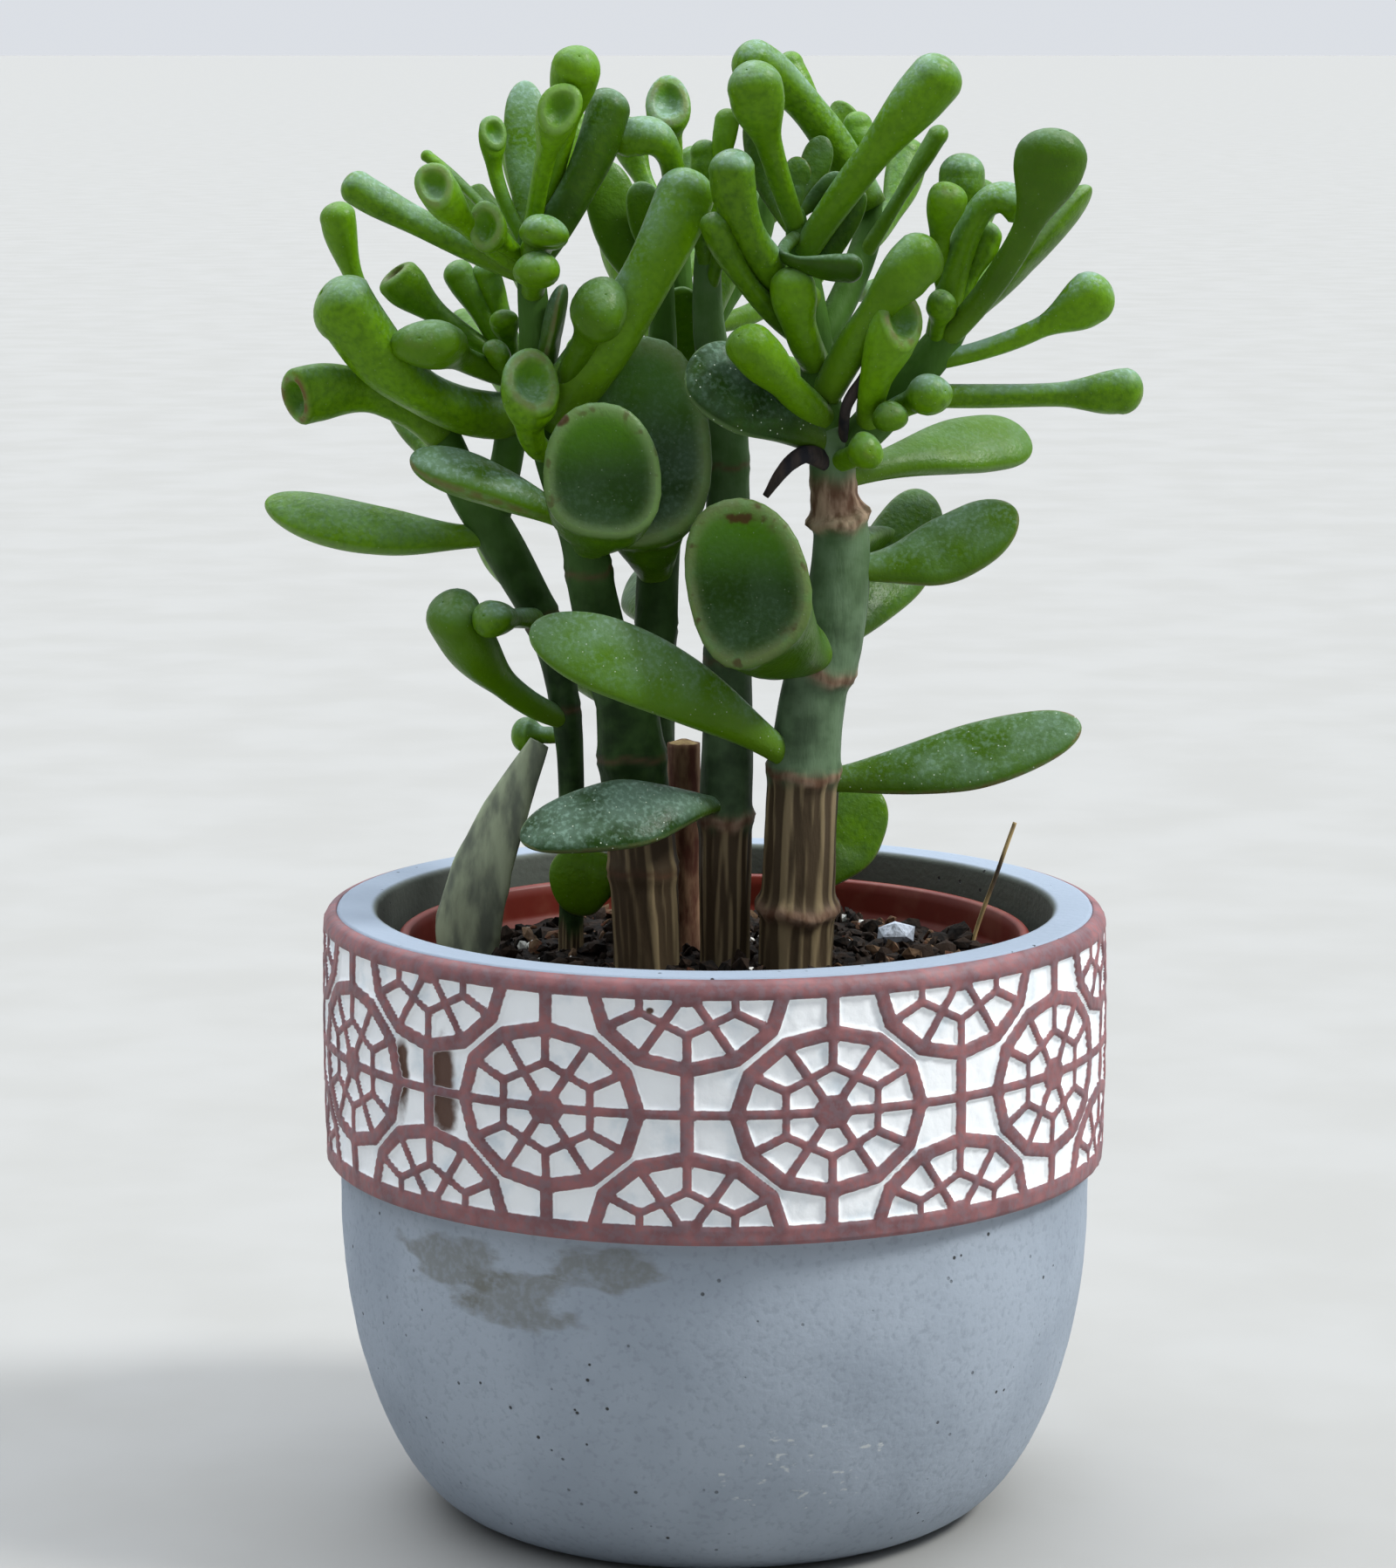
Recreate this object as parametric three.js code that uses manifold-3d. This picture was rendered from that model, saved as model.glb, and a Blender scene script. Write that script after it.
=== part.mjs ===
// Trumpet jade (a Crassula with tubular leaves) in a nursery pot inside a cement cachepot.
// Millimetres, +Z up. The origin is the middle of the cachepot's flat base, -Y is the front.
import * as THREE from "three";
import { mergeGeometries, mergeVertices } from "three/addons/utils/BufferGeometryUtils.js";
import Module from "manifold-3d";

const wasm = await Module();
wasm.setup();

// ---------- driving dimensions ----------

const cachepot = {
  height: 118,
  rimOuter: 74.6, // outer radius at the rim
  rimInner: 65.4, // opening radius
  rimRound: 1.2,
  bodyRadius: 72.8, // just under the lattice band
  baseRadius: 47,
  flankTop: 59, // where the body starts to curve in
  flankPull: 30, // how low the curve keeps the body's width
  footPull: 14, // how far the curve runs flat along the base
  floor: 10, // thickness of the floor
  wallFoot: 9, // wall thickness low down
  draft: 1, // the opening narrows by this much down to half height
  sides: 36, // four to a repeat of the lattice
};

const band = {
  bottom: 69.3,
  radius: 75.6, // outer face of the raised lattice
  border: 3.7, // height of the plain border at the top and at the bottom
  repeats: 9,
  firstWheel: 16.3, // degrees from the front to the first full wheel
  depth: 1.3, // from the lattice down to the white ground
};
const pitch = (2 * Math.PI * band.radius) / band.repeats;

const wheel = {
  halfWide: 19.2, // along the band, to the ring's outer corners
  halfHigh: 15.9,
  middle: 93.5, // height of the full wheels' hubs
  upper: 116.2, // hubs of the half wheels at the top border
  lower: 71.1, // hubs of the half wheels at the bottom border
  ring: 2.0, // ring width
  spoke: 1.1,
  hexagon: 0.52, // size of the inner hexagon, as a share of the ring
  hexagonBar: 0.95,
  post: 1.6, // the upright bars between wheels
  rail: 0.9, // the level bar between wheels
};

const nurseryPot = {
  rim: 61.3, // outer radius of the rolled rim
  rimTop: 112.7,
  rimHeight: 8,
  rimStep: 3.2, // the wall stands this far inside the rim
  baseRadius: 42,
  footRing: 6, // width of the ring that it stands on
  footRise: 2, // the base's middle is this much higher
  wall: 1.2,
  drains: 6,
  drainWide: 8,
  sides: 24,
};

const smallestCell = 1.5; // square millimetres; anything smaller stays part of its bars
const panelMargin = 0.05;

const stemFullness = 1.12; // how far a stem's corners stand out past its radius, with room to lean
const soil = { top: 107.2, mound: 1.4, clearance: 0.3, stemClearance: 0.4, holeFloor: 79.6 };

const gap = 0.3; // between solids that rest against each other
const footHeight = 80; // where the stems end in the soil

// ---------- colours ----------

const finish = (color, roughness) => new THREE.MeshStandardMaterial({ color, roughness, metalness: 0 });
const finishes = {
  cement: finish(0x8d979f, 0.85),
  plastic: finish(0x8a4630, 0.55),
  soil: finish(0x2f251f, 0.95),
  leaf: finish(0x3f7a22, 0.4),
  deadLeaf: finish(0x6b6a52, 0.7),
  stub: finish(0x6d3b2c, 0.8),
  straw: finish(0xa58a63, 0.7),
};

// ---------- solids ----------

// A closed three.js geometry as a manifold solid.
function solidOf(geometry) {
  const bare = geometry.clone();
  bare.deleteAttribute("normal");
  bare.deleteAttribute("uv");
  const merged = mergeVertices(bare, 1e-3);
  return new wasm.Manifold(
    new wasm.Mesh({
      numProp: 3,
      vertProperties: new Float32Array(merged.attributes.position.array),
      triVerts: new Uint32Array(merged.index.array),
    }),
  );
}

function meshOf(name, solid, material) {
  const made = solid.getMesh();
  const geometry = new THREE.BufferGeometry();
  geometry.setAttribute("position", new THREE.BufferAttribute(made.vertProperties, 3));
  geometry.setIndex(new THREE.BufferAttribute(made.triVerts, 1));
  geometry.computeVertexNormals();
  const mesh = new THREE.Mesh(geometry, material);
  mesh.name = name;
  return mesh;
}

// A closed solid of revolution from [radius, height] pairs, turned so that it stands along +Z.
function turned(profile, sides) {
  const points = profile.map(([r, z]) => new THREE.Vector2(r, z));
  const geometry = new THREE.LatheGeometry(points, sides);
  geometry.rotateX(Math.PI / 2);
  return solidOf(geometry);
}

// A closed skin over rings of points, each run counter-clockwise as seen from the last ring,
// with one pole point behind the first ring and one beyond the last.
function skinned(firstPole, rings, lastPole) {
  const count = rings[0].length;
  const points = [firstPole, ...rings.flat(), lastPole];
  const at = (ring, side) => 1 + ring * count + (side % count);
  const faces = [];
  for (let side = 0; side < count; side++) {
    faces.push(0, at(0, side + 1), at(0, side));
    for (let ring = 0; ring + 1 < rings.length; ring++) {
      faces.push(at(ring, side), at(ring, side + 1), at(ring + 1, side + 1));
      faces.push(at(ring, side), at(ring + 1, side + 1), at(ring + 1, side));
    }
    faces.push(at(rings.length - 1, side), at(rings.length - 1, side + 1), points.length - 1);
  }
  return new wasm.Manifold(
    new wasm.Mesh({
      numProp: 3,
      vertProperties: new Float32Array(points.flatMap((p) => [p.x, p.y, p.z])),
      triVerts: new Uint32Array(faces),
    }),
  );
}

// ---------- stems ----------

// Rows of a branch are [x, y, z, radius]; a branch always climbs, so everything on it is found
// by its height. The curve is a cubic through the rows, with slopes from each row's neighbours.
function branchAt(rows, z) {
  const last = rows.length - 1;
  let i = rows.findIndex((row, k) => k < last && z <= rows[k + 1][2]);
  if (i < 0) i = last - 1;
  const slope = (k, c) => {
    const [before, after] = [rows[Math.max(k - 1, 0)], rows[Math.min(k + 1, last)]];
    return (after[c] - before[c]) / (after[2] - before[2]);
  };
  const [a, b] = [rows[i], rows[i + 1]];
  const step = b[2] - a[2];
  const t = Math.min(Math.max((z - a[2]) / step, 0), 1);
  const channel = (c) =>
    (2 * t ** 3 - 3 * t ** 2 + 1) * a[c] +
    (t ** 3 - 2 * t ** 2 + t) * step * slope(i, c) +
    (3 * t ** 2 - 2 * t ** 3) * b[c] +
    (t ** 3 - t ** 2) * step * slope(i + 1, c);
  return { point: new THREE.Vector3(channel(0), channel(1), z), radius: channel(3) };
}

const ringSpacing = 20;
const nodeSwell = 1.1;
const nodeRoom = 4; // no plain ring comes nearer to a node
const slopeReach = 1.5; // a ring's tilt is taken from this far up and down the branch

// A branch as a tube with a swollen ring at each leaf node.
function branchSolid({ rows, nodes = [] }) {
  const [bottom, top] = [rows[0][2], rows[rows.length - 1][2]];
  const levels = new Map();
  const steps = Math.ceil((top - bottom) / ringSpacing);
  for (let k = 0; k <= steps; k++) levels.set(bottom + ((top - bottom) * k) / steps, 1);
  for (const node of nodes) {
    for (const level of [...levels.keys()]) {
      const isEnd = level === bottom || level === top;
      if (!isEnd && Math.abs(level - node) < nodeRoom) levels.delete(level);
    }
    levels.set(node, nodeSwell);
  }
  const sides = rows[0][3] > 5.5 ? 8 : 6;
  const rings = [...levels.keys()]
    .sort((a, b) => a - b)
    .map((z) => {
      const { point, radius } = branchAt(rows, z);
      const along = branchAt(rows, Math.min(z + slopeReach, top)).point;
      along.sub(branchAt(rows, Math.max(z - slopeReach, bottom)).point).normalize();
      const [side, front] = crossAxes(along, new THREE.Vector3(0, 1, 0));
      return oval(point, side, front, radius * levels.get(z), radius * levels.get(z), sides);
    });
  const { point, radius } = branchAt(rows, top);
  const tip = point.clone().setZ(top + 0.5 * radius);
  return skinned(branchAt(rows, bottom).point, rings, tip);
}

// Two unit vectors across a direction: side x front = along, front nearest to the one asked for.
function crossAxes(along, wanted) {
  let front = wanted.clone().addScaledVector(along, -wanted.dot(along));
  if (front.length() < 0.05) front = new THREE.Vector3(0.1, 0.3, 1).cross(along);
  front.normalize();
  return [front.clone().cross(along), front];
}

// Points round an oval; shift, if given, moves each point along by its sine.
function oval(middle, side, front, halfWide, halfThick, count, along = null, shift = 0) {
  const turn = (2 * Math.PI) / count;
  const full = Math.sqrt(turn / Math.sin(turn)); // the corners stand out to keep the oval's area
  return Array.from({ length: count }, (_, k) => {
    const point = middle.clone();
    point.addScaledVector(side, full * halfWide * Math.cos(turn * k));
    point.addScaledVector(front, full * halfThick * Math.sin(turn * k));
    if (along) point.addScaledVector(along, full * shift * Math.sin(turn * k));
    return point;
  });
}

// ---------- leaves ----------

// A leaf runs on a quadratic curve from inside its branch, through `through`, to its tip.
// face is the way that its end or its upper side looks.
// A knob, a cup and a spoon are tubes that widen to a slanted end: bulging, hollow or flat. A paddle
// is a flat blade with a rounded tip.
const tubeStations = [0, 0.5, 0.86, 1];
const smallTubeStations = [0, 0.62, 1];
const tubeForms = {
  knob: {
    leanFrom: 0.3, // where along the leaf the rings begin to lean
    slopeMost: 0.4, // the most that the end leans, as rise over run
    flare: 0.78, // the share of the widening that comes late
    drawnIn: 0.14, // how far short of the tip the last ring stays, as a share of the head
    ring: { size: 0.74, lift: 0.5 }, // the end's inner ring and middle, as shares of the half width
    middle: 0.72,
    sides: { slim: 5, wide: 6 },
  },
  cup: {
    leanFrom: 0.3,
    slopeMost: 1.7,
    flare: 0.78,
    drawnIn: 0,
    ring: { size: 0.62, lift: -0.1 },
    middle: -0.2,
    sides: { slim: 5, wide: 6 },
  },
  spoon: {
    leanFrom: 0,
    slopeMost: 3,
    flare: 0.1,
    drawnIn: 0,
    ring: { size: 0.85, lift: 0.09 },
    middle: 0.12,
    sides: { slim: 8, wide: 8 },
  },
};
const flareSpan = [0.46, 0.9]; // where along a tube that late widening is
const wideHead = 10.2; // from this width on a tube gets more sides
const smallHead = 8.7; // up to this width a tube makes do with fewer rings
const flattening = 1.6; // how much sooner than its end a leaf reaches its flatness
const foldRoom = 0.9; // the share of the slope at which rings would meet that is still used
const paddleStations = [0, 0.3, 0.62, 0.85, 0.96];
const paddleShoulder = 0.62; // where a paddle is widest
const paddleSides = 6;
const tipRoundness = 2.4; // the power by which a paddle's width falls to its tip
const thinnest = 0.5; // half thickness of a leaf where it is thinnest

function leafCurve(foot, through, tip) {
  const control = through.clone().multiplyScalar(2).addScaledVector(foot, -0.5);
  control.addScaledVector(tip, -0.5);
  return new THREE.QuadraticBezierCurve3(foot, control, tip);
}

// The axes across the leaf at each station, carried back from the tip without twisting.
function leafAxes(curve, stations, face) {
  const axes = [];
  let wanted = face;
  for (let k = stations.length - 1; k >= 0; k--) {
    const along = curve.getTangent(stations[k]);
    const [side, front] = crossAxes(along, wanted);
    axes[k] = { along, side, front, middle: curve.getPoint(stations[k]) };
    wanted = front;
  }
  return axes;
}

// 0 below low, 1 above high, a smooth step between.
function smoothStep(value, [low, high]) {
  const t = Math.min(Math.max((value - low) / (high - low), 0), 1);
  return t * t * (3 - 2 * t);
}

// The slope of a tube's end: what its face asks for, as far as the rings can lean without meeting.
function endSlope(form, wanted, thickAt, stations, length) {
  const shifts = stations.map((u) => thickAt(u) * leanShare(form, u));
  const growth = stations.slice(1).map((u, k) => (shifts[k + 1] - shifts[k]) / (u - stations[k]));
  return Math.min(wanted, form.slopeMost, (foldRoom * length) / Math.max(...growth));
}

function leanShare(form, u) {
  return Math.max(u - form.leanFrom, 0) / (1 - form.leanFrom);
}

// `tall`, if given, is how tall the slanted end is for its width, and sets the leaf's flatness.
function tubeSolid(curve, leaf, face) {
  const { foot, head, tall } = leaf;
  const form = tubeForms[leaf.form];
  const stations = head > smallHead ? tubeStations : smallTubeStations;
  const axes = leafAxes(curve, stations, face);
  const end = axes[axes.length - 1];
  const wanted = face.dot(end.front) / Math.max(face.dot(end.along), 0.05);
  const sides = head > wideHead ? form.sides.wide : form.sides.slim;
  const grown = (u) => (1 - form.flare) * u + form.flare * smoothStep(u, flareSpan);
  const half = (u) => (foot + (head - foot) * grown(u)) / 2;
  let { flat } = leaf;
  const thick = (u) => half(u) * (1 - (1 - flat) * Math.min(1, flattening * u));
  let slope = endSlope(form, wanted, thick, stations, curve.getLength());
  if (tall) {
    flat = tall / Math.hypot(1, slope);
    slope = endSlope(form, wanted, thick, stations, curve.getLength());
  }
  const rings = stations.map((u, k) => {
    const { along, side, front, middle } = axes[k];
    const shift = -thick(u) * slope * leanShare(form, u);
    return oval(middle, side, front, half(u), thick(u), sides, along, shift);
  });
  const looks = end.along.clone().addScaledVector(end.front, slope).normalize();
  const { size, lift } = form.ring;
  const lifted = end.middle.clone().addScaledVector(looks, lift * half(1));
  const shift = -thick(1) * size * slope;
  const [wide, deep] = [half(1) * size, thick(1) * size];
  const inner = oval(lifted, end.side, end.front, wide, deep, sides, end.along, shift);
  const middle = end.middle.clone().addScaledVector(looks, form.middle * half(1));
  return skinned(axes[0].middle, [...rings, inner], middle);
}

function paddleSolid(curve, leaf, face) {
  const axes = leafAxes(curve, paddleStations, face);
  const half = (u) => {
    const grown = smoothStep(u, [0, paddleShoulder]);
    const past = Math.max(u - paddleShoulder, 0) / (1 - paddleShoulder);
    return ((leaf.foot + (leaf.head - leaf.foot) * grown) / 2) * Math.sqrt(1 - past ** tipRoundness);
  };
  const rings = paddleStations.map((u, k) => {
    const { side, front, middle } = axes[k];
    const thick = half(u) * (1 - (1 - leaf.flat) * Math.min(1, 2 * u));
    return oval(middle, side, front, half(u), Math.max(thick, thinnest), paddleSides);
  });
  return skinned(axes[0].middle, rings, curve.getPoint(1));
}

const rootOffset = 0.35; // how far off the branch's axis a leaf starts, as a share of the radius
const vector = (list) => new THREE.Vector3(...list);

// Leaf rows: [branch, height on it, through, tip, foot width, head width, flatness, face, form,
// tall]. through is 0 where the leaf is straight; tall is left out where the flatness counts.
function leafSolid(branches, row) {
  const [branch, height, through, tip, foot, head, flat, face, form, tall] = row;
  const { point: root, radius } = branchAt(branches[branch].rows, height);
  const outward = vector(through || tip).sub(root).normalize();
  root.addScaledVector(outward, rootOffset * radius);
  const wayPoint = through ? vector(through) : root.clone().lerp(vector(tip), 0.5);
  const drawnIn = tubeForms[form] ? tubeForms[form].drawnIn * head : 0;
  const end = vector(tip).addScaledVector(vector(tip).sub(wayPoint).normalize(), -drawnIn);
  const build = form === "paddle" ? paddleSolid : tubeSolid;
  const leaf = { foot, head, flat, form, tall };
  return build(leafCurve(root, wayPoint, end), leaf, vector(face).normalize());
}

const front = [0, -1, 0];
const frontUp = [0, -1, 0.5];
const up = [0, 0, 1];

const plants = {
  leafy_stem_outer: {
    branches: {
      D: {
        rows: [
          [-28, 5, 80, 2.4],
          [-28, 5, 107, 2.4],
          [-28, 5, 145, 2.6],
          [-30, 4, 162, 3.1],
          [-33, 4, 172, 3.6],
          [-38, 3, 182, 4],
          [-43, 2, 191, 4.2],
          [-47.5, 1, 198, 3.8],
          [-52, 0, 209, 3.2],
          [-54, 0, 215, 2.4],
        ],
        nodes: [155, 173],
      },
      E: {
        rows: [
          [-43, 2, 190, 3.2],
          [-40, 3, 203, 3.1],
          [-38.5, 3, 213, 3],
          [-38, 3, 224, 2.4],
        ],
      },
    },
    leaves: [
      ["D", 213, [-66, 3, 232], [-72, 3, 251], 3, 6.8, 0.9, [-1, -1, 2], "knob"],
      ["E", 212, [-55, -10, 217.5], [-70, -18, 235.5], 8.6, 14.5, 0.85, [-2, -0.6, 1.2], "knob"],
      ["E", 219, [-48, -10, 224], [-54.4, -22, 228], 4, 9, 0.6, [-0.3, -1, 0.3], "knob", 1.5],
      ["E", 221, [-52, 2, 231], [-60.4, 1, 238.6], 3.6, 8.4, 0.8, [-2, -1, 3], "cup"],
      ["D", 208, [-64, -6, 217], [-78.2, -12, 217], 6.5, 11.5, 0.7, [-2, -2, -1], "cup"],
      ["E", 221, 0, [-49.5, 4, 240], 4, 6, 0.9, [-1, -1, 2], "knob"],
      ["E", 223, 0, [-44, 5, 240], 4, 6, 0.9, [0, -1, 2], "knob"],
      ["E", 221, 0, [-40.1, -5, 231.6], 3, 5, 0.7, front, "knob"],
      ["E", 216, 0, [-41.2, -9, 225.6], 3.5, 5.8, 0.7, [-1, -2, 1], "knob"],
      ["D", 189, [-65, -4, 191], [-85.5, -5, 196.5], 4.5, 12, 0.6, [0, -1, 1.2], "paddle"],
      ["D", 173, 0, [-42.5, -18, 175.5], 4, 8, 0.85, [-1, -2, 0.6], "knob"],
      ["D", 153, [-40.5, -5, 161.5], [-50.4, -12, 176.6], 4.2, 11.2, 0.8, [-0.4, -1, 0.3], "cup", 1.2],
      ["D", 150, 0, [-37.8, 11, 149.2], 3, 7, 0.8, [-1, -2, 1], "knob"],
      ["D", 176, [-40, 20, 178], [-46, 34, 187], 4, 9, 0.6, [0, 1, 1], "knob"],
      ["D", 200, [-54, 16, 203], [-61, 30, 212], 4, 9, 0.7, [-1, 2, 1], "cup"],
      ["E", 214, [-42, 18, 218], [-50, 34, 228], 3.5, 8, 0.7, [0, 1, 1], "knob"],
    ],
  },
  leafy_stem_left: {
    branches: {
      A: {
        rows: [
          [-13, -9, 80, 6.3],
          [-13, -9, 107, 6.4],
          [-14, -9, 130, 6.5],
          [-16, -9, 150, 6.4],
          [-17, -9, 161, 5.6],
        ],
        nodes: [126, 148],
      },
      A1: {
        rows: [
          [-17, -9, 156, 5],
          [-20, -10, 166, 4.7],
          [-23, -11, 179, 4.5],
          [-25, -12, 190, 4.2],
          [-29, -11, 201, 3.8],
          [-32.5, -10, 214, 3.4],
          [-34, -9, 232, 3],
          [-35, -8, 247, 2.2],
        ],
        nodes: [184],
      },
      A2: {
        rows: [
          [-15, -8, 156, 4.5],
          [-11.5, -5, 170, 4.2],
          [-11, -2, 181, 4],
          [-10, 0, 195, 3.6],
          [-10, 2, 210, 3.2],
          [-10, 3, 225, 2.8],
          [-10, 4, 241, 2],
        ],
      },
    },
    leaves: [
      ["A", 127, 0, [-31.5, -6, 122], 4, 14, 0.45, front, "paddle"],
      ["A1", 193, [-42, -17, 201], [-57, -18, 206], 4.5, 11, 0.7, [0, -1, 1.5], "paddle"],
      ["A1", 188, [-22, -20, 194], [-20.8, -28, 204], 5, 21.4, 0.45, [0.05, -1, 0.1], "spoon", 1.22],
      ["A2", 181, [-13, -9, 193], [-15, -14, 208], 6, 28, 0.4, [-0.05, -1, 0.15], "spoon", 1.45],
      ["A1", 206, [-34.2, -18.5, 210], [-34.1, -21, 220], 4.4, 10.5, 0.55, [0.3, -1, 0.1], "cup", 1.4],
      ["A1", 242, 0, [-31, -25, 249], 5, 9.8, 0.55, [0, -1, -0.6], "knob"],
      ["A1", 236, 0, [-32.6, -25, 242], 4.6, 8.4, 0.75, [0, -1, -1], "knob"],
      ["A1", 241, 0, [-42.3, -19, 248.9], 3, 7.5, 0.8, [-1, -2, 0.3], "cup", 1.25],
      ["A1", 240, [-45, -16, 248], [-51.5, -24, 256.5], 3.8, 7.6, 0.9, [-1, -4, 1], "cup", 1.15],
      ["A1", 242, [-46, 2, 254], [-55.2, 8, 261.5], 2.2, 3, 0.8, up, "knob"],
      ["A1", 244, [-40.5, -7, 256], [-41.5, -8, 265.9], 2.8, 5.2, 0.9, [0.6, -1, 0.3], "cup", 1.3],
      ["A1", 244, 0, [-36, 4, 275.5], 4.5, 8.8, 0.6, frontUp, "paddle"],
      ["A1", 243, [-32.5, -16, 257], [-28.5, -25, 270.5], 3.2, 8.4, 0.9, [0, -5, 1], "cup", 1.2],
      ["A1", 244, [-29.5, -12, 262], [-25, -21.5, 279.5], 4.2, 9.4, 0.9, [0.3, -5, 1], "knob"],
      ["A1", 242, [-25, -12, 257], [-19.5, -10, 272], 6.5, 8.6, 0.95, [2, -1, 1.5], "knob"],
      ["A1", 240, [-55, -9, 249], [-68.2, -9, 256.3], 5.4, 6.4, 0.9, [-3, -1, 2], "knob"],
      ["A2", 237, [-8, -8, 260], [-17.3, -8, 266], 4.5, 8, 0.8, [-2, -1, 1], "knob"],
      ["A1", 212, [-16, -16, 234], [-4.7, -12, 256.5], 10.5, 11.5, 0.75, [0.4, -1, 0.6], "knob"],
      ["A1", 212, [-25, -19, 226], [-20.4, -25, 235.8], 4, 9.8, 0.55, front, "cup", 1.25],
      ["A1", 216, 0, [-28.3, -14, 238], 3, 9, 0.45, [1, -0.2, 0], "paddle"],
      ["A1", 230, [-38, 14, 240], [-48, 27, 252], 3.5, 8, 0.8, [-1, 1, 1], "cup"],
      ["A1", 238, [-36, 10, 250], [-38, 24, 264], 3.5, 8, 0.8, [0, 1, 1], "knob"],
      ["A1", 245, [-30, 4, 258], [-27, 12, 268], 3, 6.5, 0.8, [0, 0, 1], "knob"],
      ["A1", 205, [-27, 4, 211], [-30, 22, 216], 3.5, 8, 0.7, [0, 1, 2], "cup"],
    ],
  },
  leafy_stem_middle: {
    branches: {
      B: {
        rows: [
          [2, -5, 80, 4.7],
          [2, -5, 107, 4.8],
          [2, -5, 133, 5.1],
          [2.5, -4, 150, 4.9],
          [2.5, -3, 165, 4.6],
          [2.5, -2, 200, 4.1],
          [2, -1, 215, 3.7],
          [-1, -1, 228, 3.2],
          [-1.5, -1, 246, 2.2],
        ],
        nodes: [133, 166, 203],
      },
    },
    leaves: [
      ["B", 138, [-13.5, -24, 140], [-36.5, -28, 135.5], 3.5, 15, 0.4, [0, -1, 0.9], "paddle"],
      ["B", 232, 0, [-2, -4, 250], 2.5, 5, 0.6, frontUp, "knob"],
      ["B", 234, 0, [2, -7, 249], 2.5, 4.5, 0.6, frontUp, "knob"],
      ["B", 244, 0, [-2, 3.5, 263], 3, 6, 0.8, [-1, -1, 2], "knob"],
      ["B", 244, 0, [2.5, 2, 269], 3, 5.5, 0.8, up, "knob"],
      ["B", 226, [0, 10, 232], [2, 20, 243], 3.5, 8, 0.7, [0, 1, 1], "knob"],
      ["B", 213, [2, 11, 216], [3, 22, 222], 3.5, 9, 0.6, [0, 1, 1], "cup"],
      ["B", 240, [3, 6, 250], [6, 12, 260], 3, 7, 0.8, [0, 1, 2], "knob"],
      ["B", 167, [4, 14, 174], [6, 32, 184], 4, 12, 0.45, [0, 1, 1], "paddle"],
    ],
  },
  leafy_stem_right: {
    branches: {
      C: {
        rows: [
          [15.5, -10, 80, 6.8],
          [15.5, -10, 107, 7],
          [16, -10, 119, 7.1],
          [17, -10, 144, 6.8],
          [19, -10, 161, 6.3],
          [22, -10, 170, 6.1],
          [24, -10, 189, 5.4],
          [22.5, -10, 199, 4.5],
          [22, -10, 210, 4.2],
        ],
        nodes: [119, 145, 165, 193],
      },
      C1: {
        rows: [
          [22, -10, 207, 4],
          [20, -10, 217, 3.6],
          [19, -9, 227, 3.2],
          [17, -8, 238, 3],
          [15, -8, 251, 2],
        ],
      },
      C2: {
        rows: [
          [22, -10, 204, 3.6],
          [30, -10, 212, 3.8],
          [36, -10, 219, 3.8],
          [42, -10, 226, 3.6],
          [46, -10, 232, 2.8],
        ],
      },
      C3: {
        rows: [
          [19, -9, 225, 2.8],
          [25, -2, 236, 2.8],
          [29, 4, 246, 2.6],
          [30, 6, 253, 2],
        ],
      },
    },
    leaves: [
      ["C", 143, [44, -13, 147.5], [69.5, -14, 155], 4.5, 14, 0.45, [0, -1, 0.8], "paddle"],
      ["C", 146, [-9, -25, 164.5], [-34.5, -25, 174.5], 5, 15, 0.4, [-0.2, -1, 0.5], "paddle"],
      ["C", 121, [25, -2, 129], [29, 3, 141], 4, 13, 0.4, front, "paddle"],
      ["C", 184, [42, -9, 187], [57, -9, 195.5], 5, 13.5, 0.5, [0, -1, 0.7], "paddle"],
      ["C", 168, [33, 8, 180], [41, 22, 196], 4, 15, 0.4, [0.2, -1, 0.2], "paddle"],
      ["C", 201, [46, 8, 205.5], [61.5, 18, 206], 4.5, 13.5, 0.5, [0, -1, 1], "paddle"],
      ["C", 168, [13, -22, 173], [5.8, -32, 184], 6, 23.4, 0.4, [-0.3, -1, 0.2], "spoon", 1.45],
      ["C", 207, [8, -21, 217], [-5, -24, 224], 6, 17, 0.4, [0, -1, 0.6], "paddle"],
      ["C", 204, 0, [28.7, -24, 208], 3.8, 7.8, 0.75, [0.2, -1, 0.1], "knob"],
      ["C1", 212, [14, -22, 219], [5.5, -30, 228.5], 5.6, 10, 0.85, [-0.6, -2, 0.2], "knob"],
      ["C1", 226, [7, -17, 237], [-0.5, -23, 250], 4.5, 6.5, 0.8, [-1, -1, 2], "knob"],
      ["C1", 234, [7, -20, 246], [2.8, -25, 261], 6.8, 8.8, 0.9, [-0.6, -0.6, 1], "knob"],
      ["C1", 247, [13.5, -20, 243], [26, -22, 241.3], 2.6, 6, 0.6, [1, -1, -1], "knob"],
      ["C1", 222, [16, -17, 230], [14, -20, 239.5], 6, 8, 0.8, [0, -1, 2], "knob"],
      ["C1", 216, [29.5, -22, 233], [38.6, -24, 244.7], 6, 11, 0.8, [1.4, -0.4, 0.4], "knob"],
      ["C1", 248, [11, -16, 261], [6.8, -24, 276.5], 4, 10.2, 0.9, [-1, -2, 0.2], "knob"],
      ["C1", 243, [28.5, -14, 261], [42, -16, 277.5], 5.6, 10.2, 0.85, [1.5, -1, 1.5], "knob"],
      ["C3", 241, 0, [42.5, 0, 266], 3, 5.4, 0.7, [1, 0, 1], "knob"],
      ["C1", 250, 0, [15.4, -6, 261.5], 2.5, 5.4, 0.5, front, "paddle"],
      ["C1", 250, 0, [20.6, -4, 265.2], 2.5, 6, 0.5, front, "paddle"],
      ["C1", 250, 0, [23.9, -8, 258.3], 2, 4.5, 0.6, front, "paddle"],
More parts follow.
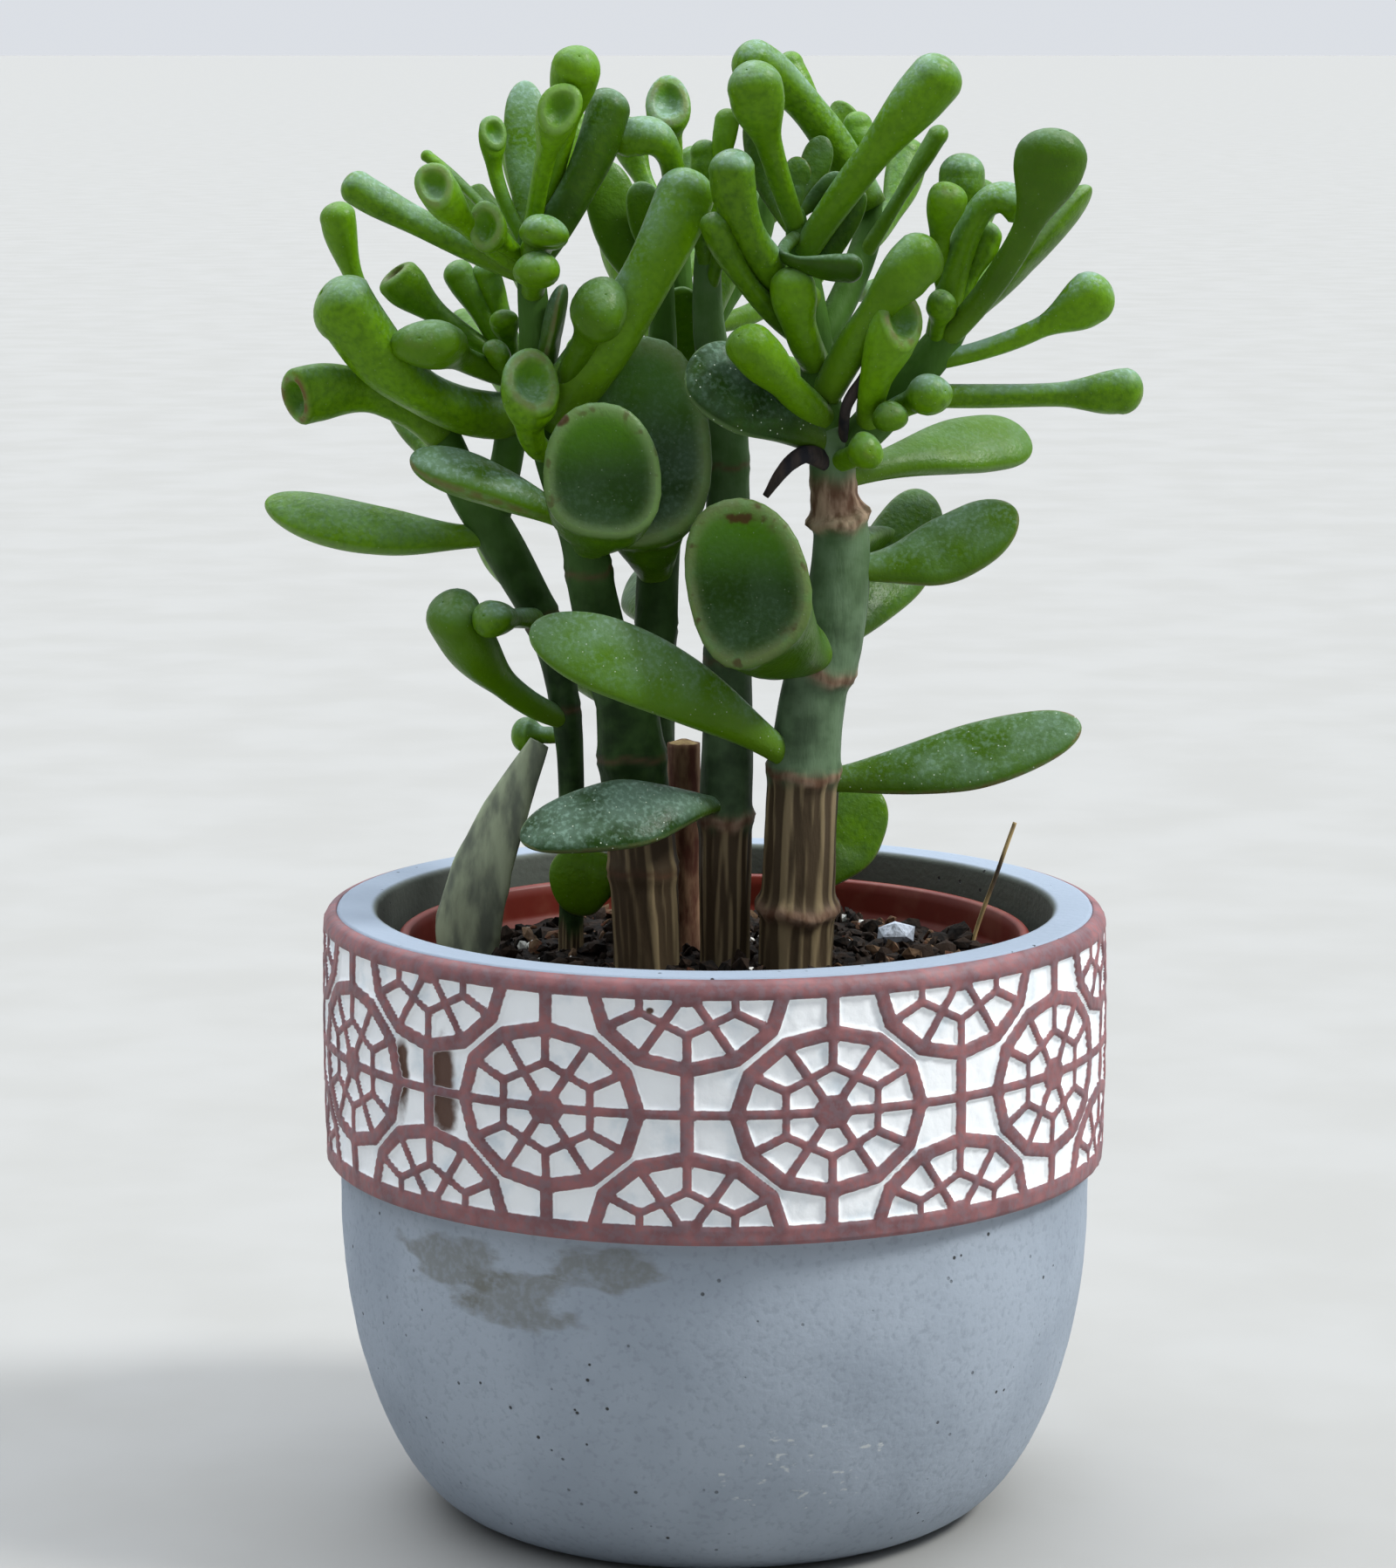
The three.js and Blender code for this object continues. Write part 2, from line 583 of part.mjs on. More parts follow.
      ["C1", 246, [9, 2, 258], [7, 6, 270], 2.5, 5.5, 0.6, [-1, -1, 1], "paddle"],
      ["C3", 251, [18.5, 2, 269], [6, -4, 280], 7, 9, 0.8, [-2, 0, 1.5], "knob"],
      ["C3", 251, 0, [14, 14, 279.5], 3, 5.6, 0.8, up, "knob"],
      ["C3", 252, 0, [27, 12, 268], 3, 6.5, 0.8, up, "knob"],
      ["C1", 236, 0, [28, -8, 255], 2.5, 4.5, 0.7, front, "paddle"],
      ["C2", 211, [30, -20, 221], [34.2, -23, 232], 5.4, 9.6, 0.9, [0.8, -1, 0.6], "cup"],
      ["C2", 225, 0, [42.3, -18, 235.5], 2.5, 6, 0.8, [0, -1, 1], "knob"],
      ["C2", 212, 0, [33, -22, 214], 2.5, 6.5, 0.9, [0, -1, 0.5], "knob"],
      ["C2", 213, 0, [41.3, -20, 218.5], 5, 9, 0.8, [1, -1, 0.3], "knob"],
      ["C2", 217, [58, -11, 217], [78.5, -11, 217.9], 4.6, 8.6, 0.85, [1, -0.6, -0.6], "knob"],
      ["C2", 223, [57, -12, 228], [72, -12, 236.5], 3.4, 10.2, 0.85, [2, -1, 0.5], "knob"],
      ["C2", 227, [55, -23.5, 244], [62.5, -28, 264], 4.6, 12.8, 0.62, [0.1, -1, 0.1], "knob"],
      ["C2", 229, [58, -7, 242], [70.5, -7, 256], 5, 11, 0.6, [1, -0.3, 0], "paddle"],
      ["C2", 226, [48, -13.5, 249.5], [57, -15, 253.5], 5.6, 7.6, 0.85, [1, -1, 1], "knob"],
      ["C2", 230, 0, [51, -8, 248], 3, 6.5, 0.8, frontUp, "knob"],
      ["C2", 231, [42, -13, 243], [43.1, -20, 255.2], 3, 7.5, 0.9, [0, -5, 1], "knob"],
      ["C2", 231, 0, [46.8, -2, 259.8], 4, 9, 0.8, [0, -1, 2], "knob"],
      ["C2", 222, [48, 8, 232], [56, 24, 240], 3.5, 8.5, 0.8, [1, 1, 1], "cup"],
      ["C2", 229, [48, 8, 242], [52, 20, 254], 3.5, 8, 0.8, [0, 1, 1], "knob"],
      ["C3", 244, [34, 18, 250], [38, 30, 262], 3.5, 8, 0.8, [0, 1, 1], "knob"],
      ["C3", 236, [32, 14, 236], [40, 32, 240], 3.5, 9, 0.8, [1, 1, 1], "cup"],
      ["C", 186, [28, 8, 188], [34, 30, 182], 4, 12, 0.5, [0, 1, 1], "paddle"],
    ],
  },
  leafy_stem_back: {
    branches: {
      F: {
        rows: [
          [-12, 18, 80, 4.4],
          [-12, 18, 107, 4.4],
          [-12, 19, 150, 4.2],
          [-11, 21, 180, 4],
          [-9, 24, 205, 3.5],
          [-7, 26, 226, 3],
          [-7, 26, 245, 2],
        ],
        nodes: [140, 170],
      },
      G: {
        rows: [
          [-8, 25, 216, 2.8],
          [0, 30, 230, 2.6],
          [8, 34, 243, 2.4],
          [11, 35, 254, 1.8],
        ],
      },
    },
    leaves: [
      ["F", 243, [-8.2, 20, 260], [-9, 18, 271], 3.5, 8.3, 0.6, [0, -1, 0.2], "knob", 1.5],
      ["F", 227, [-17, 27, 244], [-22, 28, 260], 5, 11, 0.6, frontUp, "paddle"],
      ["F", 233, [-12, 23, 246], [-15, 22, 256], 3.5, 8, 0.6, frontUp, "paddle"],
      ["F", 215, 0, [-6, 14, 236], 4, 10, 0.5, front, "paddle"],
      ["F", 184, [-18, 36, 190], [-22, 50, 202], 4, 11, 0.5, [0, 1, 1], "paddle"],
      ["F", 170, [-14, 36, 174], [-10, 54, 180], 4, 12, 0.5, [0, 1, 1], "paddle"],
      ["F", 205, [-18, 38, 212], [-26, 52, 222], 4, 9, 0.7, [-1, 2, 1], "cup"],
      ["F", 200, [-4, 42, 205], [-2, 58, 212], 4, 9, 0.8, [0, 2, 1], "knob"],
      ["F", 222, [-16, 40, 232], [-20, 54, 246], 4, 8.5, 0.8, [0, 1, 1], "cup"],
      ["F", 236, [-4, 38, 246], [-4, 48, 260], 3.5, 8, 0.9, [0, 1, 1], "knob"],
      ["F", 244, [-14, 36, 256], [-18, 42, 266], 3.5, 7.5, 0.9, [0, 1, 2], "knob"],
      ["G", 228, [10, 42, 231], [20, 56, 240], 4, 9, 0.8, [1, 2, 1], "cup"],
      ["G", 238, [10, 48, 248], [8, 60, 254], 3.5, 8, 0.8, [0, 2, 1], "knob"],
      ["G", 248, [18, 38, 256], [26, 42, 268], 3.5, 8, 0.9, [1, 1, 1], "cup"],
      ["G", 252, 0, [10, 44, 272], 3, 7, 0.9, [0, 1, 2], "knob"],
      ["G", 224, [6, 40, 220], [14, 54, 216], 4, 10, 0.6, [0, 1, 1], "cup"],
      ["F", 152, [-24, 28, 158], [-34, 34, 168], 4, 10, 0.5, [0, 1, 1], "paddle"],
    ],
  },
};

// Pieces of dead tissue that still hang on a branch: tapering tubes through the listed points.
const driedTwists = [
  { width: 2.6, points: [[21, -13, 205], [17, -18, 206.5], [13, -19.5, 204], [9.5, -19, 198.8]] },
  { width: 2.2, points: [[24, -12, 208], [24.5, -17, 215], [27, -17, 219.5], [30, -16, 224.5]] },
];

function taperedTube(points, width, sides) {
  const curve = new THREE.CatmullRomCurve3(points.map(vector));
  const stations = [0, 0.25, 0.5, 0.75, 0.95];
  const axes = leafAxes(curve, stations, vector(front));
  const rings = stations.map((u, k) => {
    const half = (width / 2) * (1 - 0.5 * u);
    return oval(axes[k].middle, axes[k].side, axes[k].front, half, half, sides);
  });
  return skinned(curve.getPoint(0), rings, curve.getPoint(1));
}

function plantSolid(name, { branches, leaves }) {
  const pieces = [
    ...Object.values(branches).map(branchSolid),
    ...leaves.map((row) => leafSolid(branches, row)),
  ];
  if (name === "leafy_stem_right") {
    pieces.push(...driedTwists.map(({ points, width }) => taperedTube(points, width, 5)));
  }
  return wasm.Manifold.union(pieces);
}

// ---------- loose pieces in the soil ----------

const stub = { x: -6, y: 8, radius: 3, top: 149 };
const withered = {
  points: [[-46.5, 5, 101], [-48, 5, 111], [-44.5, 5, 126], [-34, 5, 148.5]],
  widths: [9, 13, 13, 3.5],
  thick: 5,
};
const straw = {
  points: [[50, 12, 96], [51, 12, 108], [56, 12, 123], [59, 13, 131.5]],
  steps: 5,
  radius: 0.5,
};

function stubSolid() {
  const rows = [
    [stub.x, stub.y, footHeight, stub.radius],
    [stub.x, stub.y, stub.top - 1, stub.radius],
  ];
  return branchSolid({ rows });
}

function witheredSolid() {
  const curve = new THREE.CatmullRomCurve3(withered.points.map(vector));
  const stations = [0, 0.2, 0.4, 0.6, 0.8, 0.96];
  const widthAt = (u) => {
    const place = u * (withered.widths.length - 1);
    const k = Math.min(Math.floor(place), withered.widths.length - 2);
    return THREE.MathUtils.lerp(withered.widths[k], withered.widths[k + 1], place - k);
  };
  const axes = leafAxes(curve, stations, vector([-0.3, -1, 0.4]).normalize());
  const rings = stations.map((u, k) => {
    const half = widthAt(u) / 2;
    const thick = Math.min(withered.thick / 2, half);
    return oval(axes[k].middle, axes[k].side, axes[k].front, half, thick, 8);
  });
  return skinned(curve.getPoint(0), rings, curve.getPoint(1));
}

function strawSolid() {
  const curve = new THREE.CatmullRomCurve3(straw.points.map(vector));
  const shape = new THREE.Shape().absarc(0, 0, straw.radius, 0, 2 * Math.PI);
  const path = { steps: straw.steps, curveSegments: 2, extrudePath: curve };
  return solidOf(new THREE.ExtrudeGeometry(shape, path));
}

// ---------- pots and soil ----------

// The casting's turned skin: from the foot up to the lattice panel, and from above the panel
// over the rim and down inside to the floor.
function cachepotSkins() {
  const { height, rimOuter, rimInner, rimRound, bodyRadius, baseRadius } = cachepot;
  const { flankTop, flankPull, footPull, floor, wallFoot, draft, sides } = cachepot;
  const flank = new THREE.CubicBezierCurve(
    new THREE.Vector2(bodyRadius, flankTop),
    new THREE.Vector2(bodyRadius, flankPull),
    new THREE.Vector2(baseRadius + footPull, 0),
    new THREE.Vector2(baseRadius, 0),
  );
  const outside = flank.getPoints(6).reverse();
  const inside = outside
    .filter((p) => p.y > floor + wallFoot && p.y < height / 3)
    .map((p) => [p.x - wallFoot, p.y])
    .reverse();
  const below = [
    [0, 0],
    ...outside.map((p) => [p.x, p.y]),
    [bodyRadius, band.bottom],
    [band.radius - 0.3, band.bottom],
    [band.radius, band.bottom + band.border],
  ];
  const above = [
    [band.radius, height - band.border],
    [rimOuter, height - rimRound],
    [rimOuter - rimRound, height],
    [rimInner + rimRound, height],
    [rimInner, height - rimRound],
    [rimInner - draft, height / 2],
    ...inside,
    [baseRadius, floor],
    [0, floor],
  ];
  const start = THREE.MathUtils.degToRad(band.firstWheel);
  return [below, above].map((profile) => {
    const points = profile.map(([r, z]) => new THREE.Vector2(r, z));
    const skin = new THREE.LatheGeometry(points, sides);
    return skin.rotateX(Math.PI / 2).rotateZ(start).toNonIndexed();
  });
}

// The corners of a polygon cut down to the side of a line where (p - point) . inward >= 0.
function clipped(corners, point, inward) {
  const side = (p) => p.clone().sub(point).dot(inward);
  return corners.flatMap((p, k) => {
    const next = corners[(k + 1) % corners.length];
    const [here, there] = [side(p), side(next)];
    const kept = here >= 0 ? [p] : [];
    if (here >= 0 !== there >= 0) kept.push(p.clone().lerp(next, here / (here - there)));
    return kept;
  });
}

// A straight bar's edge as a clip line: through a and b, moved off by half the bar's width
// towards the inside point.
function barLine(a, b, inset, inside) {
  const normal = new THREE.Vector2(a.y - b.y, b.x - a.x).normalize();
  if (inside.clone().sub(a).dot(normal) < 0) normal.negate();
  return { point: a.clone().addScaledVector(normal, inset), inward: normal };
}

// A cell of the lattice: the big square cut down by all its bars, or null if too small to show.
function cell(lines) {
  const far = 60;
  const square = [[-far, -far], [far, -far], [far, far], [-far, far]];
  let corners = square.map((p) => new THREE.Vector2(...p));
  for (const { point, inward } of lines) corners = clipped(corners, point, inward);
  const isShown = corners.length > 2 && Math.abs(THREE.ShapeUtils.area(corners)) > smallestCell;
  return isShown ? corners : null;
}

const ringCorner = (degrees, share = 1) =>
  new THREE.Vector2(
    wheel.halfWide * share * Math.cos(THREE.MathUtils.degToRad(degrees)),
    wheel.halfHigh * share * Math.sin(THREE.MathUtils.degToRad(degrees)),
  );

// The twelve cells of one wheel round its hub, outside the hexagon, which stays solid. Each has a
// ring bar, two spokes and a hexagon bar on its sides; the inside point tells which side is kept.
function wheelCells() {
  const hub = new THREE.Vector2();
  const hexagonCorner = (degrees) => ringCorner(degrees, wheel.hexagon);
  return Array.from({ length: 12 }, (_, k) => {
    const inside = ringCorner(30 * k + 15, 0.75);
    const hexagonFrom = 60 * Math.floor((k + 1) / 2) - 30;
    const hexagonEnds = [hexagonCorner(hexagonFrom), hexagonCorner(hexagonFrom + 60)];
    return [
      barLine(ringCorner(30 * k), ringCorner(30 * k + 30), wheel.ring, inside),
      barLine(hub, ringCorner(30 * k), wheel.spoke / 2, inside),
      barLine(hub, ringCorner(30 * k + 30), wheel.spoke / 2, inside),
      barLine(...hexagonEnds, wheel.hexagonBar / 2, inside),
    ];
  });
}

// The cells between wheels, about a full wheel's hub, for one of its four quarters.
function linkCells(right, upper, halfWheelRise) {
  const turn = (p) => new THREE.Vector2(p.x * right, p.y * upper);
  const at = (x, y) => turn(new THREE.Vector2(x, y));
  const far = wheel.halfHigh; // any point further along a bar's line
  const nextHub = new THREE.Vector2(pitch / 2, halfWheelRise);
  const beside = (degrees) => turn(nextHub.clone().add(ringCorner(degrees)));
  const own = (degrees) => turn(ringCorner(degrees));
  const border = at(0, halfWheelRise);
  const nearPost = at(pitch / 2 - 4, 5); // a point inside the cell at the post
  const nearBorder = at(4, wheel.halfHigh + 2); // and one in the upright cell
  return [
    [
      barLine(at(pitch / 2, 0), at(pitch / 2, far), wheel.post / 2, nearPost),
      barLine(at(0, 0), at(far, 0), wheel.rail / 2, nearPost),
      barLine(own(0), own(30), 0, nearPost),
      barLine(beside(240), beside(270), 0, nearPost),
    ],
    [
      barLine(at(0, 0), at(0, far), wheel.post / 2, nearBorder),
      barLine(own(60), own(90), 0, nearBorder),
      barLine(beside(180), beside(210), 0, nearBorder),
      { point: border, inward: new THREE.Vector2(0, -upper) },
    ],
  ];
}

// A cell cut to the panel between the borders, at its place in the repeat; null if too small.
function inPanel(corners, along, height) {
  const low = band.bottom + band.border - height;
  const high = cachepot.height - band.border - height;
  const bottom = new THREE.Vector2(0, low + panelMargin);
  const top = new THREE.Vector2(0, high - panelMargin);
  let kept = clipped(corners, bottom, new THREE.Vector2(0, 1));
  if (kept.length) kept = clipped(kept, top, new THREE.Vector2(0, -1));
  if (kept.length < 3 || Math.abs(THREE.ShapeUtils.area(kept)) < smallestCell) return null;
  return kept.map((p) => new THREE.Vector2(p.x + along, p.y + height));
}

// One repeat of the panel, from a half pitch left of a full wheel's hub to a half pitch right.
// Half wheels straddle its two ends, so each end takes the half of their cells on its side.
function panelCells() {
  const wheelShapes = wheelCells().map(cell).filter(Boolean);
  const middleOf = (corners) => corners.reduce((sum, p) => sum + p.x, 0) / corners.length;
  const quarters = [
    [1, 1, wheel.upper - wheel.middle],
    [-1, 1, wheel.upper - wheel.middle],
    [1, -1, wheel.middle - wheel.lower],
    [-1, -1, wheel.middle - wheel.lower],
  ];
  const links = quarters.flatMap((quarter) => linkCells(...quarter)).map(cell).filter(Boolean);
  const cells = [...wheelShapes, ...links].map((shape) => inPanel(shape, 0, wheel.middle));
  for (const height of [wheel.upper, wheel.lower]) {
    for (const end of [-1, 1]) {
      const half = wheelShapes.filter((corners) => middleOf(corners) < 0 === end > 0);
      cells.push(...half.map((shape) => inPanel(shape, (end * pitch) / 2, height)));
    }
  }
  return cells.filter(Boolean);
}

// The panel's skin: raised bars between sunk cells, each a floor and its walls, bent round the
// casting. Its top and bottom edges have the corners of the turned skins, so they meet.
function panelSkin() {
  const [low, high] = [band.bottom + band.border, cachepot.height - band.border];
  const steps = cachepot.sides / band.repeats;
  const edge = Array.from({ length: steps + 1 }, (_, k) => pitch * (k / steps - 0.5));
  const outline = [
    ...edge.map((s) => new THREE.Vector2(s, low)),
    ...edge.toReversed().map((s) => new THREE.Vector2(s, high)),
  ];
  const clockwise = (corners) =>
    THREE.ShapeUtils.isClockWise(corners) ? corners : corners.toReversed();
  const cells = panelCells().map(clockwise);
  // The triangulation fails on corners in line with each other, so it is given corners that are
  // nudged a little out of line, with the outline's long edges bowed outward.
  const bow = 0.03;
  const nudge = 0.004;
  const nudged = (p) => {
    const out = p.y === low ? -bow : p.y === high ? bow : 0;
    const wave = nudge * Math.sin(7 * p.x + 3 * p.y);
    return new THREE.Vector2(p.x, p.y + wave + out * (1 - (2 * p.x / pitch) ** 2));
  };
  const flat = [];
  const raised = [...outline, ...cells.flat()];
  const nudgedCells = cells.map((corners) => corners.map(nudged));
  for (const face of THREE.ShapeUtils.triangulateShape(outline.map(nudged), nudgedCells)) {
    flat.push(...face.map((k) => [raised[k].x, raised[k].y, 0]));
  }
  for (const corners of cells) {
    const facing = corners.toReversed();
    for (const face of THREE.ShapeUtils.triangulateShape(facing, [])) {
      flat.push(...face.map((k) => [facing[k].x, facing[k].y, band.depth]));
    }
    facing.forEach((a, k) => {
      const b = facing[(k + 1) % facing.length];
      flat.push([a.x, a.y, band.depth], [a.x, a.y, 0], [b.x, b.y, 0]);
      flat.push([a.x, a.y, band.depth], [b.x, b.y, 0], [b.x, b.y, band.depth]);
    });
  }
  const bent = [];
  for (let repeat = 0; repeat < band.repeats; repeat++) {
    const middle = THREE.MathUtils.degToRad(band.firstWheel + (360 / band.repeats) * repeat);
    for (const [s, z, depth] of flat) {
      const turn = middle + s / band.radius;
      const radius = band.radius - depth;
      bent.push(radius * Math.sin(turn), -radius * Math.cos(turn), z);
    }
  }
  const geometry = new THREE.BufferGeometry();
  return geometry.setAttribute("position", new THREE.Float32BufferAttribute(bent, 3));
}

function cachepotSolid() {
  const skins = cachepotSkins();
  for (const skin of skins) {
    skin.deleteAttribute("normal");
    skin.deleteAttribute("uv");
  }
  return solidOf(mergeGeometries([...skins, panelSkin()]));
}

function nurseryPotSolid() {
  const { rim, rimTop, rimHeight, rimStep, baseRadius } = nurseryPot;
  const { footRing, footRise, wall, drains, drainWide, sides } = nurseryPot;
  const floor = cachepot.floor + gap;
  const underRim = rimTop - rimHeight;
  const shoulder = rim - rimStep;
  const shell = turned(
    [
      [0, floor + footRise],
      [baseRadius - footRing - footRise, floor + footRise],
      [baseRadius - footRing, floor],
      [baseRadius, floor],
      [shoulder, underRim],
      [rim - wall, underRim],
      [rim, rimTop - wall / 2],
      [rim - wall / 2, rimTop],
      [rim - 1.6 * wall, rimTop],
      [rim - 2.3 * wall, underRim + wall],
      [shoulder - wall, underRim],
      [baseRadius - wall, floor + footRise + wall],
      [0, floor + footRise + wall],
    ],
    sides,
  );
  const holes = Array.from({ length: drains }, (_, k) => {
    const box = new THREE.BoxGeometry(drainWide, drainWide, 12);
    box.translate(baseRadius - 1, 0, floor);
    box.rotateZ((2 * Math.PI * (k + 0.5)) / drains);
    return solidOf(box);
  });
  return shell.subtract(wasm.Manifold.union(holes));
}

function hole({ x, y, radius, floor = soil.holeFloor }) {
  const sides = 10;
  const open = (radius + soil.stemClearance) / Math.cos(Math.PI / sides);
  const top = cachepot.height;
  const shaft = turned([[0, floor], [open, floor], [open, top], [0, top]], sides);
  return shaft.translate([x, y, 0]);
}

function soilSolid(loose) {
  const { rim, rimTop, rimHeight, rimStep, baseRadius, footRise, wall, sides } = nurseryPot;
  const { top, mound, clearance } = soil;
  const low = cachepot.floor + footRise + wall + 2 * gap;
  const inner = baseRadius - wall - clearance;
  const underRim = rimTop - rimHeight;
  const edge = rim - rimStep - wall - clearance;
  const block = turned(
    [
      [0, low],
      [inner, low],
      [edge, underRim],
      [edge, top - mound],
      [0.72 * edge, top - 0.4 * mound],
      [0.35 * edge, top],
      [0, top],
    ],
    sides,
  );
  const stems = Object.values(plants).map(({ branches }) => {
    const [x, y, , radius] = Object.values(branches)[0].rows[0];
    return hole({ x, y, radius: radius * stemFullness });
  });
  stems.push(hole({ x: stub.x, y: stub.y, radius: stub.radius * stemFullness }));
  return block.subtract(wasm.Manifold.union([...stems, ...loose]));
}

// ---------- the whole ----------

const group = new THREE.Group();
const loosePieces = {
  withered_leaf: [witheredSolid(), finishes.deadLeaf],
  dry_straw: [strawSolid(), finishes.straw],
};
const looseHoles = [
  hole({ x: -47.2, y: 5, radius: 7, floor: 100 }),
  hole({ x: 50.5, y: 12, radius: 1.3 }),
];

group.add(meshOf("cachepot", cachepotSolid(), finishes.cement));
group.add(meshOf("nursery_pot", nurseryPotSolid(), finishes.plastic));
group.add(meshOf("soil", soilSolid(looseHoles), finishes.soil));
for (const [name, plant] of Object.entries(plants)) {
  group.add(meshOf(name, plantSolid(name, plant), finishes.leaf));
}
group.add(meshOf("cut_stub", stubSolid(), finishes.stub));
for (const [name, [solid, material]] of Object.entries(loosePieces)) {
  group.add(meshOf(name, solid, material));
}

export default group;
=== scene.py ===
# Trumpet jade in a nursery pot, standing in a cement cachepot with a painted lattice band.
# Sizes are millimetres in the part's own frame (+Z up, -Y the front) and become metres in the meshes.
import math

import bpy
import numpy as np
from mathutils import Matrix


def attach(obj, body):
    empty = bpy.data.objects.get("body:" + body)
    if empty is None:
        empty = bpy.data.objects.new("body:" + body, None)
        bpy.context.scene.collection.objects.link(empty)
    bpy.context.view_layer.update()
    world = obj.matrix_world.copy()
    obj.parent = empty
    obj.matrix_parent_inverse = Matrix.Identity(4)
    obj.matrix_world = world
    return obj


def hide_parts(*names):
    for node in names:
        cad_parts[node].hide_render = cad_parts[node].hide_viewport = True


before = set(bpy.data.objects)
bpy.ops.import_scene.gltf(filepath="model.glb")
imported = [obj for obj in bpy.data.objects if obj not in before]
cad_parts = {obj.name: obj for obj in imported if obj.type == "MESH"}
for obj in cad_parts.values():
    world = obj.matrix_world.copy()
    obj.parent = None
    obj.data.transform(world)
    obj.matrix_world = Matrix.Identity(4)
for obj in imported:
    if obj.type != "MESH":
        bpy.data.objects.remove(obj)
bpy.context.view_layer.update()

mm = 0.001
noiseCells = 64 # after which fineNoise repeats
print("frame loaded:", sorted(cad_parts))


def unit(v):
    # each vector divided by its own length
    return v / np.maximum(np.linalg.norm(v, axis=-1, keepdims=True), 1e-9)


def ringQuads(rings, around):
    # quads between each ring and the next, the last point of a ring joined to its first
    ring = np.arange(rings - 1)[:, None] * around
    here = np.arange(around)[None, :]
    beside = (here + 1) % around
    quads = np.stack([ring + here, ring + beside, ring + around + beside, ring + around + here], axis=-1)
    return quads.reshape(-1, 4)


def tubes(points, starts, ends, values, slot=0):
    # points is (tubes, rings, around, 3), each ring counter-clockwise seen from the last one; starts and
    # ends close the two ends of each tube; values are arrays (tubes, rings, around)
    count, rings, around = points.shape[:3]
    block = rings * around
    first = np.arange(count)[:, None] * block
    quads = (first[:, :, None] + ringQuads(rings, around)[None]).reshape(-1, 4)
    here = np.arange(around)[None, :]
    beside = (here + 1) % around
    startPole = np.broadcast_to(count * block + np.arange(count)[:, None], (count, around))
    last = first + (rings - 1) * around
    fanStart = np.stack([startPole, first + beside, first + here], axis=-1)
    fanEnd = np.stack([last + here, last + beside, startPole + count], axis=-1)
    tris = np.concatenate([fanStart.reshape(-1, 3), fanEnd.reshape(-1, 3)])
    flat = {}
    for name, value in values.items():
        full = np.broadcast_to(value, (count, rings, around))
        flat[name] = np.concatenate([full.reshape(-1), full[:, 0].mean(1), full[:, -1].mean(1)])
    verts = np.concatenate([points.reshape(-1, 3), starts, ends])
    return {"verts": verts, "quads": quads, "tris": tris, "values": flat, "slot": slot}


def solids(verts, faces, values):
    # many copies of one small closed shape: verts is (copies, corners, 3), faces (n, 3)
    copies, corners = verts.shape[:2]
    tris = (np.arange(copies)[:, None, None] * corners + faces[None]).reshape(-1, 3)
    flat = {name: np.repeat(value, corners) for name, value in values.items()}
    noQuads = np.zeros((0, 4), int)
    return {"verts": verts.reshape(-1, 3), "quads": noQuads, "tris": tris, "values": flat, "slot": 0}


def makePiece(name, parts, materials, smooth=True):
    # joins the parts into one mesh object at the origin, with every named value as a point attribute
    names = sorted({key for part in parts for key in part["values"]})
    verts = np.concatenate([part["verts"] for part in parts]) * mm
    offsets = np.cumsum([0] + [len(part["verts"]) for part in parts])
    quads = np.concatenate([part["quads"] + start for part, start in zip(parts, offsets)])
    tris = np.concatenate([part["tris"] + start for part, start in zip(parts, offsets)])
    quadSlots = np.concatenate([np.full(len(part["quads"]), part["slot"]) for part in parts])
    triSlots = np.concatenate([np.full(len(part["tris"]), part["slot"]) for part in parts])
    mesh = bpy.data.meshes.new(name)
    mesh.vertices.add(len(verts))
    mesh.vertices.foreach_set("co", verts.astype(np.float32).ravel())
    corners = np.concatenate([quads.ravel(), tris.ravel()]).astype(np.int32)
    mesh.loops.add(len(corners))
    mesh.loops.foreach_set("vertex_index", corners)
    starts = np.concatenate([np.arange(len(quads)) * 4, len(quads) * 4 + np.arange(len(tris)) * 3])
    mesh.polygons.add(len(starts))
    mesh.polygons.foreach_set("loop_start", starts.astype(np.int32))
    mesh.polygons.foreach_set("material_index", np.concatenate([quadSlots, triSlots]).astype(np.int32))
    mesh.polygons.foreach_set("use_smooth", np.full(len(starts), smooth))
    mesh.update(calc_edges=True)
    for key in names:
        column = [part["values"].get(key, np.zeros(len(part["verts"]))) for part in parts]
        attribute = mesh.attributes.new(key, "FLOAT", "POINT")
        attribute.data.foreach_set("value", np.concatenate(column).astype(np.float32))
    for material in materials:
        mesh.materials.append(material)
    piece = bpy.data.objects.new(name, mesh)
    bpy.context.scene.collection.objects.link(piece)
    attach(piece, "root")
    print(f"{name}: {len(quads) * 2 + len(tris)} triangles")
    return piece


def ripple(seed, *angles):
    # soft random waves: for each angle array, a sum of sines of rising frequency and random phase
    rng = np.random.default_rng(seed)
    total = 0
    for angle in angles:
        for turn in (1, 2, 3, 5):
            total = total + np.sin(turn * angle + rng.uniform(0, 2 * math.pi)) / turn
    return total / (2 * len(angles))


